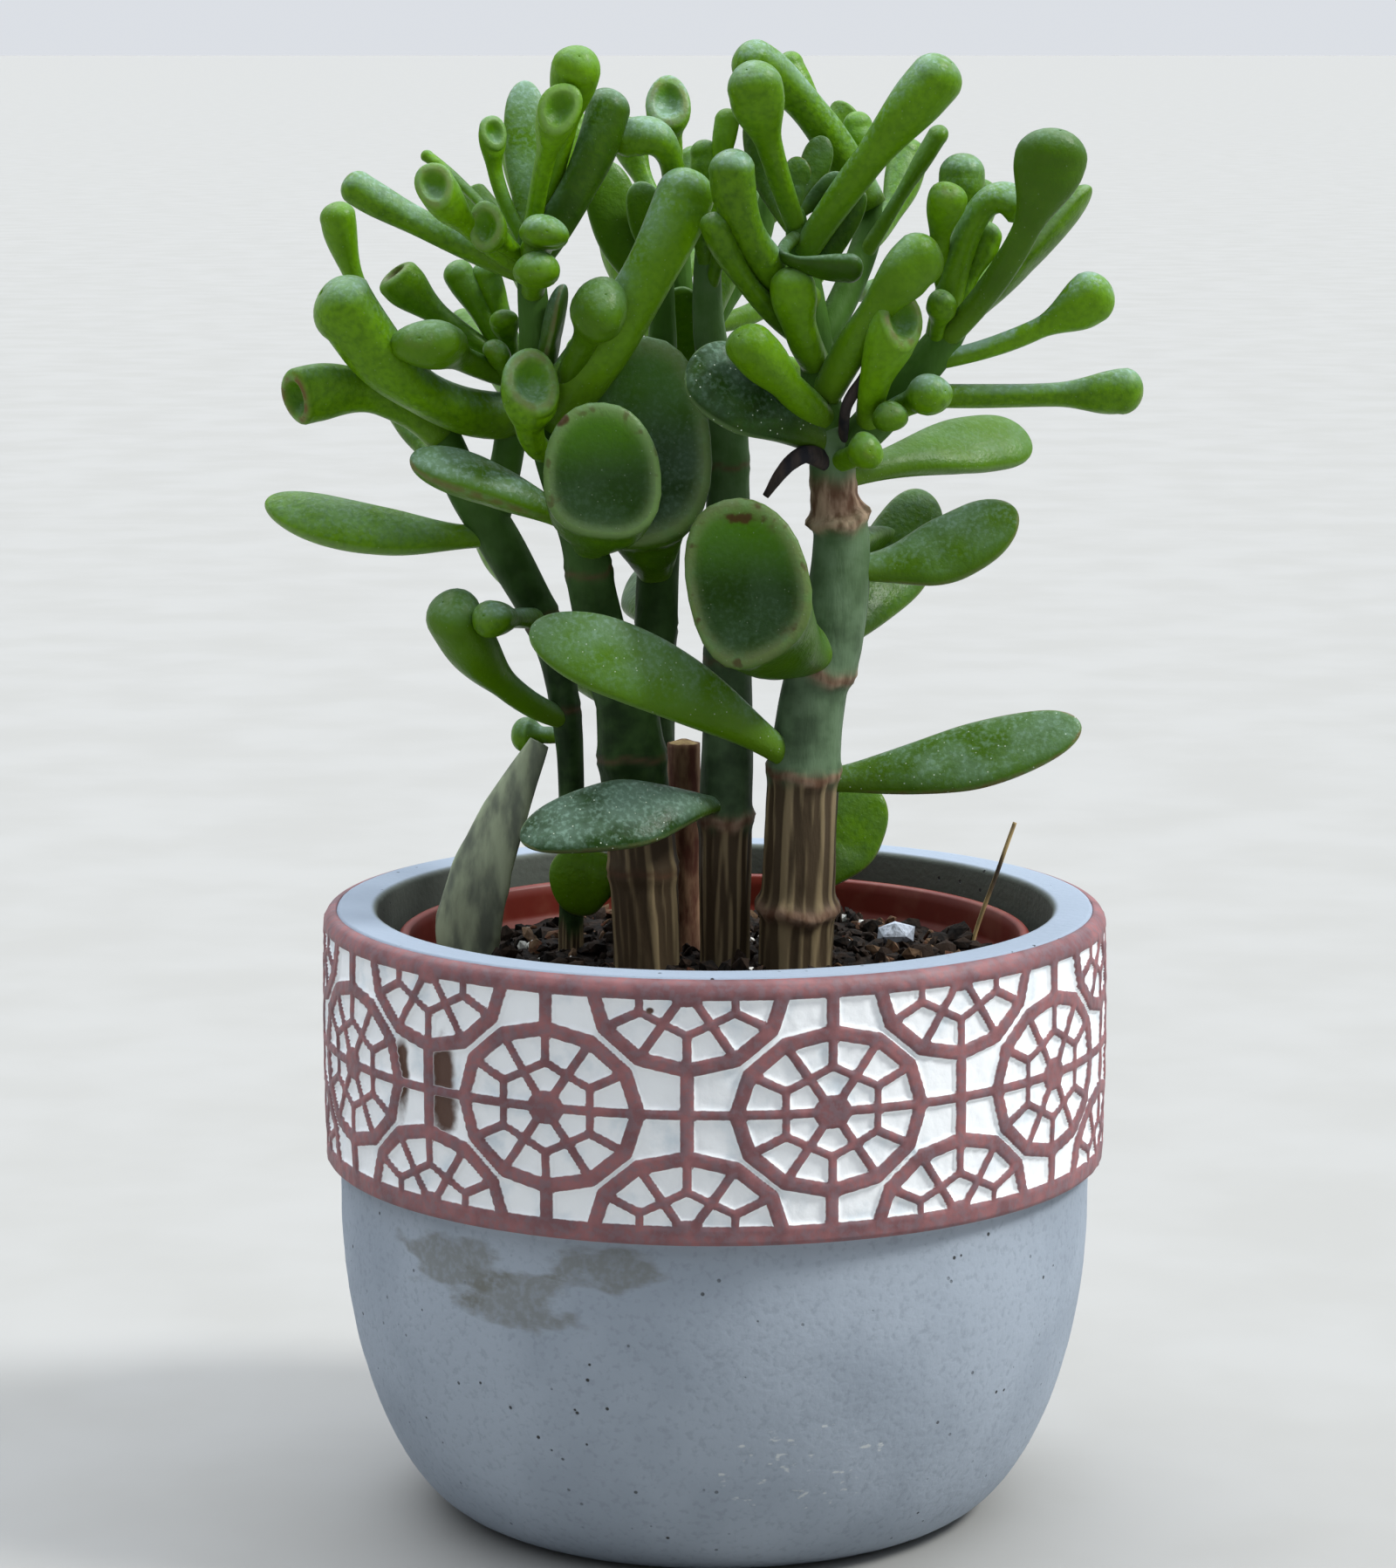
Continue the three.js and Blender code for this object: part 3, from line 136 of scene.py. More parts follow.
def fineNoise(x, y, seed, octaves):
    # value noise on a plane: random heights on a grid, blended smoothly between, in halving octaves,
    # each shifted against the last
    rng = np.random.default_rng(seed)
    total = np.zeros(np.broadcast(x, y).shape)
    size = 1.0
    for octave in range(octaves):
        table = rng.uniform(-1, 1, (noiseCells, noiseCells))
        u, v = x * size + 17 * octave, y * size + 31 * octave
        i, j = np.floor(u).astype(int), np.floor(v).astype(int)
        a, b = smooth(u - i, 0, 1), smooth(v - j, 0, 1)
        here, beside = i % noiseCells, (i + 1) % noiseCells
        under, over = j % noiseCells, (j + 1) % noiseCells
        low = table[here, under] * (1 - a) + table[beside, under] * a
        high = table[here, over] * (1 - a) + table[beside, over] * a
        total += (low * (1 - b) + high * b) / size
        size *= 2
    return total


def smooth(value, low, high):
    # 0 below low, 1 above high, a smooth step between
    t = np.clip((value - low) / (high - low), 0, 1)
    return t * t * (3 - 2 * t)


def bell(away, half):
    # 1 in the middle, falling as exp(-(away / half)^2)
    return np.exp(-((away / half) ** 2))


def add(tree, kind, inputs=None, **settings):
    # one node, with its settings and its inputs given as values or as other nodes' sockets
    node = tree.nodes.new("ShaderNode" + kind)
    for key, value in settings.items():
        setattr(node, key, value)
    for key, value in (inputs or {}).items():
        if isinstance(value, bpy.types.NodeSocket):
            tree.links.new(value, node.inputs[key])
        else:
            node.inputs[key].default_value = value
    return node


def rgb(red, green, blue):
    # a display colour, 0 to 255, as linear light
    share = np.array([red, green, blue]) / 255
    linear = np.where(share > 0.04045, ((share + 0.055) / 1.055) ** 2.4, share / 12.92)
    return (*linear.tolist(), 1.0)


def mix(tree, factor, first, second):
    # the first colour where the factor is 0, the second where it is 1
    return add(tree, "Mix", {0: factor, 6: first, 7: second}, data_type="RGBA").outputs[2]


def maths(tree, operation, first, second=0.0):
    return add(tree, "Math", {0: first, 1: second}, operation=operation).outputs[0]


def times(tree, first, second):
    return maths(tree, "MULTIPLY", first, second)


def plus(tree, first, second):
    return maths(tree, "ADD", first, second)


def step(tree, value, low, high, top=1.0):
    # 0 below low and top above high, smooth between; low may be above high, which turns it round
    inputs = {"Value": value, "From Min": low, "From Max": high, "To Max": top}
    return add(tree, "MapRange", inputs, interpolation_type="SMOOTHSTEP").outputs[0]


def given(tree, name):
    # a value that makePiece stored at the mesh's points
    return add(tree, "Attribute", attribute_name=name).outputs["Fac"]


def noise(tree, place, size, detail, stretch=None):
    # size is the width of a blotch in millimetres; stretch gives the blotches other lengths along X, Y, Z
    if stretch:
        place = add(tree, "Mapping", {"Vector": place, "Scale": stretch}).outputs[0]
    inputs = {"Vector": place, "Scale": 1 / (size * mm), "Detail": detail}
    return add(tree, "TexNoise", inputs).outputs["Fac"]


def specks(tree, place, spacing, radius):
    # 1 on round specks of that radius, spaced about that far apart, both in millimetres
    inputs = {"Vector": place, "Scale": 1 / (spacing * mm)}
    near = add(tree, "TexVoronoi", inputs, feature="F1").outputs["Distance"]
    return step(tree, near, radius / spacing, 0.6 * radius / spacing)


def patch(tree, place, centre, size, ragged=None, raggedness=1.2):
    # 1 near a place, falling softly to 0 over its size along X, Y, Z, all in millimetres
    scale = tuple(1 / (value * mm) for value in size)
    start = tuple(-c / value for c, value in zip(centre, size))
    moved = add(tree, "Mapping", {"Vector": place, "Location": start, "Scale": scale}).outputs[0]
    away = add(tree, "VectorMath", {0: moved}, operation="LENGTH").outputs["Value"]
    if ragged is not None:
        shift = times(tree, maths(tree, "SUBTRACT", ragged, 0.5), raggedness)
        away = plus(tree, away, shift)
    return step(tree, away, 1.0, 0.55)


def newMaterial(name, roughness, specular):
    # a principled material with its constant values on its own sockets, and its tree, shader and place
    material = bpy.data.materials.new(name)
    material.use_nodes = True
    tree = material.node_tree
    shader = tree.nodes["Principled BSDF"]
    shader.inputs["Roughness"].default_value = roughness
    shader.inputs["Specular IOR Level"].default_value = specular
    place = add(tree, "TexCoord").outputs["Object"]
    return material, tree, shader, place


def bumped(tree, shader, height, depth, strength):
    # raises the surface by the height value times depth, in millimetres
    node = add(tree, "Bump", {"Height": height, "Distance": depth * mm, "Strength": strength})
    tree.links.new(node.outputs[0], shader.inputs["Normal"])


def paint(tree, shader, colour):
    # the shader takes its colour from that socket
    tree.links.new(colour, shader.inputs["Base Color"])


leafLook = {
    "around": 28,
    "start": 0.35, # how far out from its branch's axis a leaf starts, as a share of the radius
    "young": rgb(102, 150, 4),
    "green": rgb(22, 64, 0),
    "old": rgb(14, 40, 5),
    "foot": rgb(100, 136, 36),
    "footEnd": 0.35, # where along the leaf its foot's colour ends
    "hollow": rgb(66, 116, 2),
    # painted shade for the low side inside an open end, and for a spoon's face
    "hollowPaintedShade": rgb(14, 36, 2),
    # painted highlight: a pale line along each rim
    "rimHighlight": rgb(128, 158, 104),
    "redRim": rgb(104, 52, 30),
    "scar": rgb(66, 30, 18),
    "scars": [((4.7, -33, 195.9), (5.2, 8, 1.4)), ((-28.3, -29, 213.8), (2.2, 8, 1.3))], # places, sizes
    "scarEdge": 1.6, # how ragged a scar's edge is
    # bloom colour; on upward faces it is also painted sheen, the sky's reflection
    "bloom": rgb(136, 168, 150),
    "leastBloom": 0.11,
    "speck": rgb(206, 220, 200),
    "leastSpecks": 0.12,
    "speckGap": 1.5,
    "speckRadius": 0.16,
    "blotches": 6, # the width of the blotches of old and young green
    "mottles": 1.2, # of the fine mottles, which are dents too
    "pits": 0.5, # of the smallest dents
    "clouds": 9, # of the clouds of bloom
    "frost": 0.9, # of the grains of bloom
    "breaks": 2.5, # of the breaks in a red rim and round a scar
    "burns": 3.5, # of the burns on a rim
    "dentDepth": 0.25,
    "roughness": (0.3, 0.46), # the least, and the most on a blotch
    "specular": 0.15,
}

stemLook = {
    "around": 84,
    "step": 0.8, # between rings
    "green": rgb(19, 43, 7),
    "greenPale": rgb(47, 76, 28),
    "greenTop": rgb(66, 108, 22), # up in the crown
    "barkDark": rgb(76, 64, 48),
    "barkPale": rgb(136, 121, 92),
    "waxy": rgb(112, 136, 108),
    "cork": rgb(172, 146, 124),
    "corkDark": rgb(96, 68, 52),
    "crown": (0.16, 0.22), # metres up, between which the stems turn to the crown's green
    "usualBloom": 0.1,
    "wander": 2.5, # how far the edges of bark and cork stray up and down
    "barkFade": 2, # half the height in which green turns to bark
    "stripes": ((5, 0.5), (8, 0.7), (13, 0.8), (17, 0.7), (21, 0.6)), # how many round, how strong
    "stripeDepth": 0.3,
    "corkDepth": 0.12,
    "unevenness": 0.12,
    "swell": 0.09, # a node's extra width, as a share of the radius
    "swellHigh": 1.8, # half its height
    "line": 0.55, # half the height of the dark line on it
    "groove": 0.3, # the depth of that line
    "grooveHigh": 0.5,
    "mottles": 5,
    "grain": 2.2,
    "relief": 0.5,
    "roughness": 0.55,
    "specular": 0.12,
}

trumpetShape = {
    "rings": 30,
    "crowding": 1.35, # above 1, the rings lie closer near the end
    "flattening": 1.6, # how fast a round foot turns to the leaf's own flatness
    "usualAge": 0.2,
    "mouthStart": 0.3, # where along the leaf the rings start to lean
    "bend": 1.3,
    "leans": (0.4, 1.7), # the most that a closed and an open end lean
    "flare": 0.78, # the share of the widening that comes near the end
    "flareSpan": (0.46, 0.9), # and where along the leaf that is
    "lateSpan": (0.66, 0.97), # or, for a leaf marked late
    "shoulders": (0.95, 0.32), # how far in the end stays round, closed and open, in half widths
    "ridges": (0.88, 0.22), # how far that rounding stands out
    "drawnIn": 0.2, # how far short of the tip a knob's last ring stays, as a share of the head
    "dish": 0.1, # how far an open middle is sunk below the edge
    "usualDepth": -1.0, # of an end without the mark deep, as a share of the dish: a closed knob
    "openSpan": (-0.5, 1.0), # from which depth to which an end opens
    "dishPower": 1.4, # above 1, the dish has a flat middle
    "shade": 0.45, # how dark the painted shade on the lower side of an open end is
    "shadeSpan": (-0.5, 0.9), # from where to where below the tip that painted shade grows, in half widths
    "faceEdge": 0.55, # where the middle's own colour is full, as a share of the ridge's place
    "waves": (0.045, 0.035, 0.045, 0.025), # how uneven it is, twice and three times round, then along it
    "squareness": 1.0, # the power of the section's sine and cosine: below 1 it nears a rectangle
}
# a spoon's face takes the full painted shade over most of its height
spoonShape = {**trumpetShape, "usualAge": 0.9, "mouthStart": 0.0, "bend": 1.0, "leans": (0.4, 3.0),
              "flare": 0.1, "shoulders": (0.88, 0.11), "ridges": (0.72, 0.08), "dish": -0.06,
              "usualDepth": 1.0, "squareness": 0.86, "shade": 1.0, "shadeSpan": (-1.0, 0.2),
              "faceEdge": 0.97}
paddleShape = {
    "rings": 46,
    "lastRing": 0.985, # a point closes the rest
    "crowding": 1.5,
    "flattening": 2,
    "usualAge": 0.55,
    "shoulder": 0.62, # where along the blade it is widest
    "roundness": 2.4,
    "upper": 0.8, # how thick each side is, against the row's flatness
    "lower": 1.12,
    "dip": 0.1, # how far the edges lift, in half widths
    "rimStart": 0.955, # how far out towards the edge the rim's colour, its red and its painted highlight, starts
}


def branchCurve(rows, z):
    # points and radii at the heights z, on the cubic through the rows [x, y, z, radius], with each
    # row's slope taken from its neighbours
    table = np.array(rows, float)
    last = len(table) - 1
    before = table[np.maximum(np.arange(last + 1) - 1, 0)]
    after = table[np.minimum(np.arange(last + 1) + 1, last)]
    slope = (after - before) / (after[:, 2:3] - before[:, 2:3])
    i = np.clip(np.searchsorted(table[1:, 2], z), 0, last - 1)
    span = (table[i + 1, 2] - table[i, 2])[:, None]
    t = np.clip((z - table[i, 2])[:, None] / span, 0, 1)
    value = (2 * t**3 - 3 * t**2 + 1) * table[i] + (t**3 - 2 * t**2 + t) * span * slope[i]
    value += (3 * t**2 - 2 * t**3) * table[i + 1] + (t**3 - t**2) * span * slope[i + 1]
    return np.column_stack([value[:, 0], value[:, 1], z]), value[:, 3]


def barkStripes(theta, z, seed):
    # long wavering stripes round a stem: sines of the angle, whose phases wander with height
    rng = np.random.default_rng(seed)
    total = 0
    for turns, share in stemLook["stripes"]:
        wander = 0.12 * np.sin(z / rng.uniform(14, 26) + rng.uniform(0, 6.3))
        wander = wander + 0.035 * np.sin(z / rng.uniform(4, 7) + rng.uniform(0, 6.3))
        total = total + share * np.sin(turns * (theta + wander) + rng.uniform(0, 6.3))
    return smooth(total, -0.7, 1.5)


def stemTube(branch, seed):
    # a tube round the branch's curve, closed by a dome: its radius swells at each node and collar and is
    # furrowed where it is bark
    look = stemLook
    rows = branch["rows"]
    bottom, top = rows[0][2], rows[-1][2]
    z = np.linspace(bottom, top, int((top - bottom) / look["step"]))
    centre, radius = branchCurve(rows, z)
    along = unit(np.gradient(centre, axis=0))
    front = unit(np.array([0, 1.0, 0]) - along[:, 1:2] * along)
    side = np.cross(front, along)
    theta = np.linspace(0, 2 * math.pi, look["around"], endpoint=False)[None, :]
    height = z[:, None] + 0 * theta
    barkTop = branch.get("bark", 0)
    ragged = look["wander"] * ripple(seed, 2 * theta)
    bark = 1 - smooth(height + ragged, barkTop - look["barkFade"], barkTop + look["barkFade"])
    stripe = barkStripes(theta, height, seed)
    cork = 0 * height
    swell = 0 * height
    for place, halfHeight in branch.get("cork", []):
        ring = np.exp(-np.abs((height - place - 0.8 * ragged / look["wander"]) / halfHeight) ** 4)
        cork = np.maximum(cork, ring)
        swell += look["corkDepth"] * ring * np.sin(height * 1.7 + 3 * ripple(seed + 5, 3 * theta))
    line = 0 * height
    for place in branch.get("nodes", []):
        at = height - place - 0.35 * ragged
        swell += look["swell"] * radius[:, None] * bell(at, look["swellHigh"])
        line = np.maximum(line, bell(at, look["line"]))
        swell -= look["groove"] * bell(at, look["grooveHigh"])
    for place, thick, out in branch.get("collars", []):
        at = height - place - 0.5 * ragged
        swell += out * bell(at, thick)
        cork = np.maximum(cork, 0.9 * bell(at, thick))
    swell += look["stripeDepth"] * bark * (stripe - 0.5)
    swell += look["unevenness"] * ripple(seed + 1, 2 * theta + height / 9, height / 5)
    reach = (radius[:, None] + swell)[..., None]
    outward = np.cos(theta)[..., None] * side[:, None] + np.sin(theta)[..., None] * front[:, None]
    points = centre[:, None] + reach * outward
    dome = np.linspace(0.12, 0.97, 6) * math.pi / 2
    capReach = reach[-1][None] * np.cos(dome)[:, None, None]
    capRings = centre[-1] + 0.6 * radius[-1] * np.sin(dome)[:, None, None] * along[-1]
    points = np.concatenate([points, capRings + capReach * outward[-1]])[None]
    bloomy = branch.get("bloom", look["usualBloom"]) + 0 * height
    values = {"bark": bark, "stripe": stripe, "cork": cork, "line": line, "bloomy": bloomy}
    for key, value in values.items():
        values[key] = np.concatenate([value, np.repeat(value[-1:], len(dome), 0)])[None]
    end = centre[-1] + 0.62 * radius[-1] * along[-1]
    return tubes(points, centre[:1], end[None], values, slot=1)


def leafFrames(root, through, tip, face, u):
    # the quadratic curve from root through the middle point to tip, with axes across it at each u,
    # carried back from the tip without twisting
    control = 2 * through - (root + tip) / 2
    w = u[None, :, None]
    middle = (1 - w) ** 2 * root[:, None] + 2 * w * (1 - w) * control[:, None] + w**2 * tip[:, None]
    along = unit((1 - w) * (control - root)[:, None] + w * (tip - control)[:, None])
    front = np.empty_like(along)
    wanted = face
    for k in range(len(u) - 1, -1, -1):
        across = wanted - (wanted * along[:, k]).sum(-1, keepdims=True) * along[:, k]
        spare = np.cross([0.1, 0.3, 1.0], along[:, k])
        isShort = np.linalg.norm(across, axis=-1, keepdims=True) < 0.05
        front[:, k] = unit(np.where(isShort, spare, across))
        wanted = front[:, k]
    return middle, along, np.cross(front, along), front


def leafTable(branches, rows):
    # the rows as arrays, each leaf's root a little off its branch's axis
    roots = []
    for branch, height, through, tip, *_ in rows:
        point, radius = branchCurve(branches[branch]["rows"], np.array([float(height)]))
        outward = unit(np.array(through or tip, float) - point[0])
        roots.append(point[0] + leafLook["start"] * radius[0] * outward)
    root = np.array(roots)
    tip, face = (np.array([row[k] for row in rows], float) for k in (3, 7))
    through = np.array([row[2] or (np.array(row[3]) + start) / 2 for row, start in zip(rows, roots)], float)
    foot, head, flat = (np.array([row[k] for row in rows], float)[:, None, None] for k in (4, 5, 6))
    marks = [row[8] if len(row) > 8 else {} for row in rows]
    return root, through, tip, foot, head, flat, unit(face), marks


def markValues(marks, seed, usualAge):
    # each leaf's looks as numbers: its marks, a random age, red rim and bloom where it has none, and a
    # random tint
    rng = np.random.default_rng(seed)
    columns = {"tint": rng.uniform(-1, 1, len(marks))}
    chance = rng.uniform(0, 1, (3, len(marks)))
    usual = {"old": usualAge + 0.3 * chance[0] - 0.15, "red": 0.5 * chance[1] ** 2}
    usual["bloom"] = 0.1 + 0.4 * chance[2]
    names = {"age": "old", "red": "red", "bloomy": "bloom", "scar": "scar", "dry": "dry", "white": "white"}
    for name, key in names.items():
        column = usual.get(key, np.zeros(len(marks)))
        columns[name] = np.array([mark.get(key, common) for mark, common in zip(marks, column)], float)
    return {name: value[:, None, None] for name, value in columns.items()}


def trumpetLeaves(branches, rows, shape, seed):
    # a tube whose rings widen from foot to head and lean more and more towards its face. A quarter
    # ellipse rounds its end, and an open one then falls to its middle as ridge - sunk * (1 - r^2)^1.4
    root, through, tip, foot, head, flat, face, marks = leafTable(branches, rows)
    count = len(root)
    deep = np.array([mark.get("deep", shape["usualDepth"]) for mark in marks])[:, None]
    opened = smooth(deep, *shape["openSpan"])
    closedAndOpen = (shape[key] for key in ("shoulders", "ridges", "leans"))
    shoulder, ridge, mostLean = (closed + (spread - closed) * opened for closed, spread in closedAndOpen)
    tip = tip - shape["drawnIn"] * (1 - opened) * head[:, 0] * unit(tip - through)
    t = np.linspace(0, 1, shape["rings"])
    u = 1 - (1 - t) ** shape["crowding"]
    middle, along, side, front = leafFrames(root, through, tip, face, u)
    w = u[None, :, None]
    late = np.array([mark.get("late", 0) for mark in marks])[:, None, None]
    spans = zip(shape["flareSpan"], shape["lateSpan"])
    widening = smooth(w, *(usual + (later - usual) * late for usual, later in spans))
    half = (foot + (head - foot) * ((1 - shape["flare"]) * w + shape["flare"] * widening)) / 2
    endFront, endAlong = front[:, -1], along[:, -1]
    wanted = (face * endFront).sum(-1) / np.maximum((face * endAlong).sum(-1), 0.05)
    length = np.linalg.norm(through - root, axis=-1) + np.linalg.norm(tip - through, axis=-1)
    ramp = np.clip((w - shape["mouthStart"]) / (1 - shape["mouthStart"]), 0, 1) ** shape["bend"]
    tall = np.array([mark.get("tall", 0) for mark in marks])
    for again in range(3):
        thick = half * (1 - (1 - flat) * np.minimum(1, shape["flattening"] * w))
        growth = np.gradient((thick * ramp)[..., 0], u, axis=1).max(axis=1)
        lean = np.minimum(np.minimum(wanted, mostLean[:, 0]), 0.95 * length / growth)
        flat = np.where(tall > 0, tall / np.sqrt(1 + lean**2), flat[:, 0, 0])[:, None, None]
    lean = lean[:, None, None]
    phi = np.linspace(0, 2 * math.pi, leafLook["around"], endpoint=False)[None, None, :]
    rng = np.random.default_rng(seed)
    phase = rng.uniform(0, 2 * math.pi, (4, count, 1, 1))
    angles = (2 * phi + 2.5 * w, 3 * phi - 3 * w, 5 * w, 11 * w)
    waves = [share * np.sin(angle + shift) for share, angle, shift in zip(shape["waves"], angles, phase)]
    wave = 1 + (waves[0] + waves[1]) * np.minimum(1, 3 * w) + waves[2] + waves[3]
    cosine, sine = (np.sign(v) * np.abs(v) ** shape["squareness"] for v in (np.cos(phi), np.sin(phi)))
    across, over = half * wave * cosine, thick * wave * sine
    out = across[..., None] * side[:, :, None] + over[..., None] * front[:, :, None]
    out = out - (over * lean * ramp)[..., None] * along[:, :, None]
    body = middle[:, :, None] + out

    turn = np.linspace(0.08, 0.5, 9)[None, :] * math.pi
    fall = np.linspace(0.97, 0.06, 10)[None, :]
    scale = np.concatenate([1 - shoulder + shoulder * np.cos(turn), (1 - shoulder) * fall], axis=1)
    sunk = 0.03 + (ridge + shape["dish"] * np.maximum(deep, 0)) * opened
    dished = ridge - sunk * (1 - fall**2) ** shape["dishPower"]
    lift = np.concatenate([ridge * np.sin(turn), dished], axis=1)
    looks = unit(endAlong + lean[:, 0] * endFront)
    halfHead = half[:, -1]
    mouth = middle[:, -1][:, None, None] + scale[:, :, None, None] * out[:, -1][:, None]
    mouth = mouth + (lift * halfHead)[:, :, None, None] * looks[:, None, None]
    centre = middle[:, -1] + ((ridge - sunk) * halfHead) * looks

    values = markValues(marks, seed + 1, shape["usualAge"])
    ridgePlace = 1 - 0.75 * shoulder
    cup = smooth(-scale, -ridgePlace, -shape["faceEdge"] * ridgePlace) * opened
    values["cup"] = np.concatenate([np.zeros((count, len(u))), cup], axis=1)[:, :, None]
    # painted shade: the lower side inside an open end is marked here to be darkened
    fallen = (tip[:, 2, None, None] - mouth[..., 2]) / halfHead[:, :, None]
    low = smooth(fallen, *shape["shadeSpan"])
    low = shape["shade"] * low * values["cup"][:, len(u):]
    values["low"] = np.concatenate([np.zeros(body.shape[:3]), low], axis=1)
    below = (1 - u)[None] * length[:, None] + shoulder * halfHead
    away = np.concatenate([below, np.abs(scale - ridgePlace) * halfHead], axis=1)
    edge = bell(away, 0.3 + 0.08 * halfHead) * (0.25 + 0.75 * opened)
    values["rim"] = edge[:, :, None]
    values["along"] = np.concatenate([u, np.ones(scale.shape[1])])[None, :, None]
    shapeAll = (count, len(u) + scale.shape[1], phi.size)
    values = {key: np.broadcast_to(value, shapeAll) for key, value in values.items()}
    return tubes(np.concatenate([body, mouth], axis=1), middle[:, 0], centre, values)


def paddleLeaves(branches, rows, shape, seed):
    # a flat blade: width grows smoothly to the shoulder and then falls as sqrt(1 - x^roundness); the
    # section is a lens, thicker below, and its edges lift a little to the upper side
    root, through, tip, foot, head, flat, face, marks = leafTable(branches, rows)
    count = len(root)
    t = np.linspace(0, shape["lastRing"], shape["rings"])
    u = 1 - (1 - t) ** shape["crowding"]
    middle, _, side, front = leafFrames(root, through, tip, face, u)
    w = u[None, :, None]
    past = np.clip((w - shape["shoulder"]) / (1 - shape["shoulder"]), 0, 1)
    wide = foot + (head - foot) * smooth(w, 0, shape["shoulder"])
    half = wide / 2 * np.sqrt(1 - past ** shape["roundness"])
    flattened = np.minimum(1, shape["flattening"] * w)
    thick = half * (1 - (1 - flat) * flattened)
    phi = np.linspace(0, 2 * math.pi, leafLook["around"] + 4, endpoint=False)[None, None, :]
    rng = np.random.default_rng(seed)
    phase = rng.uniform(0, 2 * math.pi, (3, count, 1, 1))
    cosine, sine = np.cos(phi), np.sin(phi)
    wave = 1 + 0.03 * np.sin(6 * w + phase[0]) * cosine + 0.02 * np.sin(14 * w + phase[1])
    across = half * wave * cosine
    rise = np.where(sine > 0, shape["upper"], shape["lower"]) * thick * sine
    rise = rise * (0.86 + 0.14 * np.abs(sine))
    rise = rise + shape["dip"] * half * flattened * (cosine**2 - 0.4)
    rise = rise + 0.05 * half * np.sin(7 * w + phase[2]) * cosine
    points = middle[:, :, None] + across[..., None] * side[:, :, None] + rise[..., None] * front[:, :, None]
    values = markValues(marks, seed + 1, shape["usualAge"])
    outermost = np.abs(cosine) + 0.25 * smooth(w, 0.93, 1.0)
    values["rim"] = smooth(outermost, shape["rimStart"], 1.0) * smooth(w, 0.1, 0.3)
    values["cup"] = values["low"] = np.zeros((1, 1, 1))
    values["along"] = w
    shapeAll = (count, len(u), phi.size)
    values = {key: np.broadcast_to(value, shapeAll) for key, value in values.items()}
    return tubes(points, middle[:, 0], tip, values)


front, frontUp, up = [0, -1, 0], [0, -1, 1], [0, 0, 1]

# Each stem's branches have rows [x, y, z, radius] from the foot up, the heights of their nodes, of the
# top of the bark, and of any cork [height, half its height] and collars [height, half its height, how
# far out], and how bloomy they are. A leaf is [branch, height on it, a point on the way or None, tip,
# foot width, head width, flatness, the way its mouth or upper side faces] and its marks, if it has
# any: tall, its mouth's height as a share of its width; deep, how deep an open mouth is; late, how
# near the end it widens; and how old, red, scarred, dry, bloomy and dotted with white it is.
outerStem = {
    "branches": {
        "D": {"rows": [[-28, 5, 80, 2.4], [-28, 5, 107, 2.4], [-28, 5, 145, 2.6], [-30, 4, 162, 3.1],
                       [-33, 4, 172, 3.6], [-38, 3, 182, 4], [-43, 2, 191, 4.2], [-47.5, 1, 198, 3.8],
                       [-52, 0, 209, 3.2], [-54, 0, 215, 2.4]],
             "nodes": [155, 173], "bark": 112},
        "E": {"rows": [[-43, 2, 190, 3.2], [-40, 3, 203, 3.1], [-38.5, 3, 213, 3], [-38, 3, 224, 2.4]]},
    },
    "trumpet": [
        ["D", 213, [-66, 3, 232], [-72, 3, 251], 3, 6.8, 0.9, [-1, -1, 2], {"red": 0.3, "late": 1}],
        ["E", 212, [-55, -10, 217.5], [-70, -18, 235.5], 8.6, 14.5, 0.85, [-2, -0.6, 1.2],
         {"deep": -0.2, "red": 0.3, "old": 0.1, "bloom": 0.6}],
        ["E", 219, [-48, -10, 224], [-54.4, -22, 228], 4, 9, 0.6, [-0.3, -1, 0.3],
         {"tall": 1.5, "old": 0.5}],
        ["E", 221, [-52, 2, 231], [-60.4, 1, 238.6], 3.6, 8.4, 0.8, [-2, -1, 3], {"deep": 0.6, "dry": 0.8}],
        ["D", 208, [-64, -6, 217], [-78.2, -12, 217], 6.5, 11.5, 0.7, [-2, -2, -1], {"deep": 2, "red": 0.8}],
        ["E", 221, None, [-49.5, 4, 240], 4, 6, 0.9, [-1, -1, 2]],
        ["E", 223, None, [-44, 5, 240], 4, 6, 0.9, [0, -1, 2]],
        ["E", 221, None, [-40.1, -5, 231.6], 3, 5, 0.7, front],
        ["E", 216, None, [-41.2, -9, 225.6], 3.5, 5.8, 0.7, [-1, -2, 1], {"red": 1, "old": 0.5}],
        ["D", 173, None, [-42.5, -18, 175.5], 4, 8, 0.85, [-1, -2, 0.6], {"bloom": 0.8}],
        ["D", 153, [-40.5, -5, 161.5], [-50.4, -12, 176.6], 4.2, 11.2, 0.8, [-0.4, -1, 0.3],
         {"tall": 1.2, "old": 0.7}],
        ["D", 150, None, [-37.8, 11, 149.2], 3, 7, 0.8, [-1, -2, 1], {"bloom": 0.8}],
        ["D", 176, [-40, 20, 178], [-46, 34, 187], 4, 9, 0.6, [0, 1, 1]],
        ["D", 200, [-54, 16, 203], [-61, 30, 212], 4, 9, 0.7, [-1, 2, 1], {"deep": 1}],
        ["E", 214, [-42, 18, 218], [-50, 34, 228], 3.5, 8, 0.7, [0, 1, 1]],
    ],
    "paddle": [
        ["D", 189, [-65, -4, 191], [-85.5, -5, 196.5], 4.5, 12, 0.6, [0, -1, 1.2],
         {"bloom": 0.3, "old": 0.1}],
    ],
}

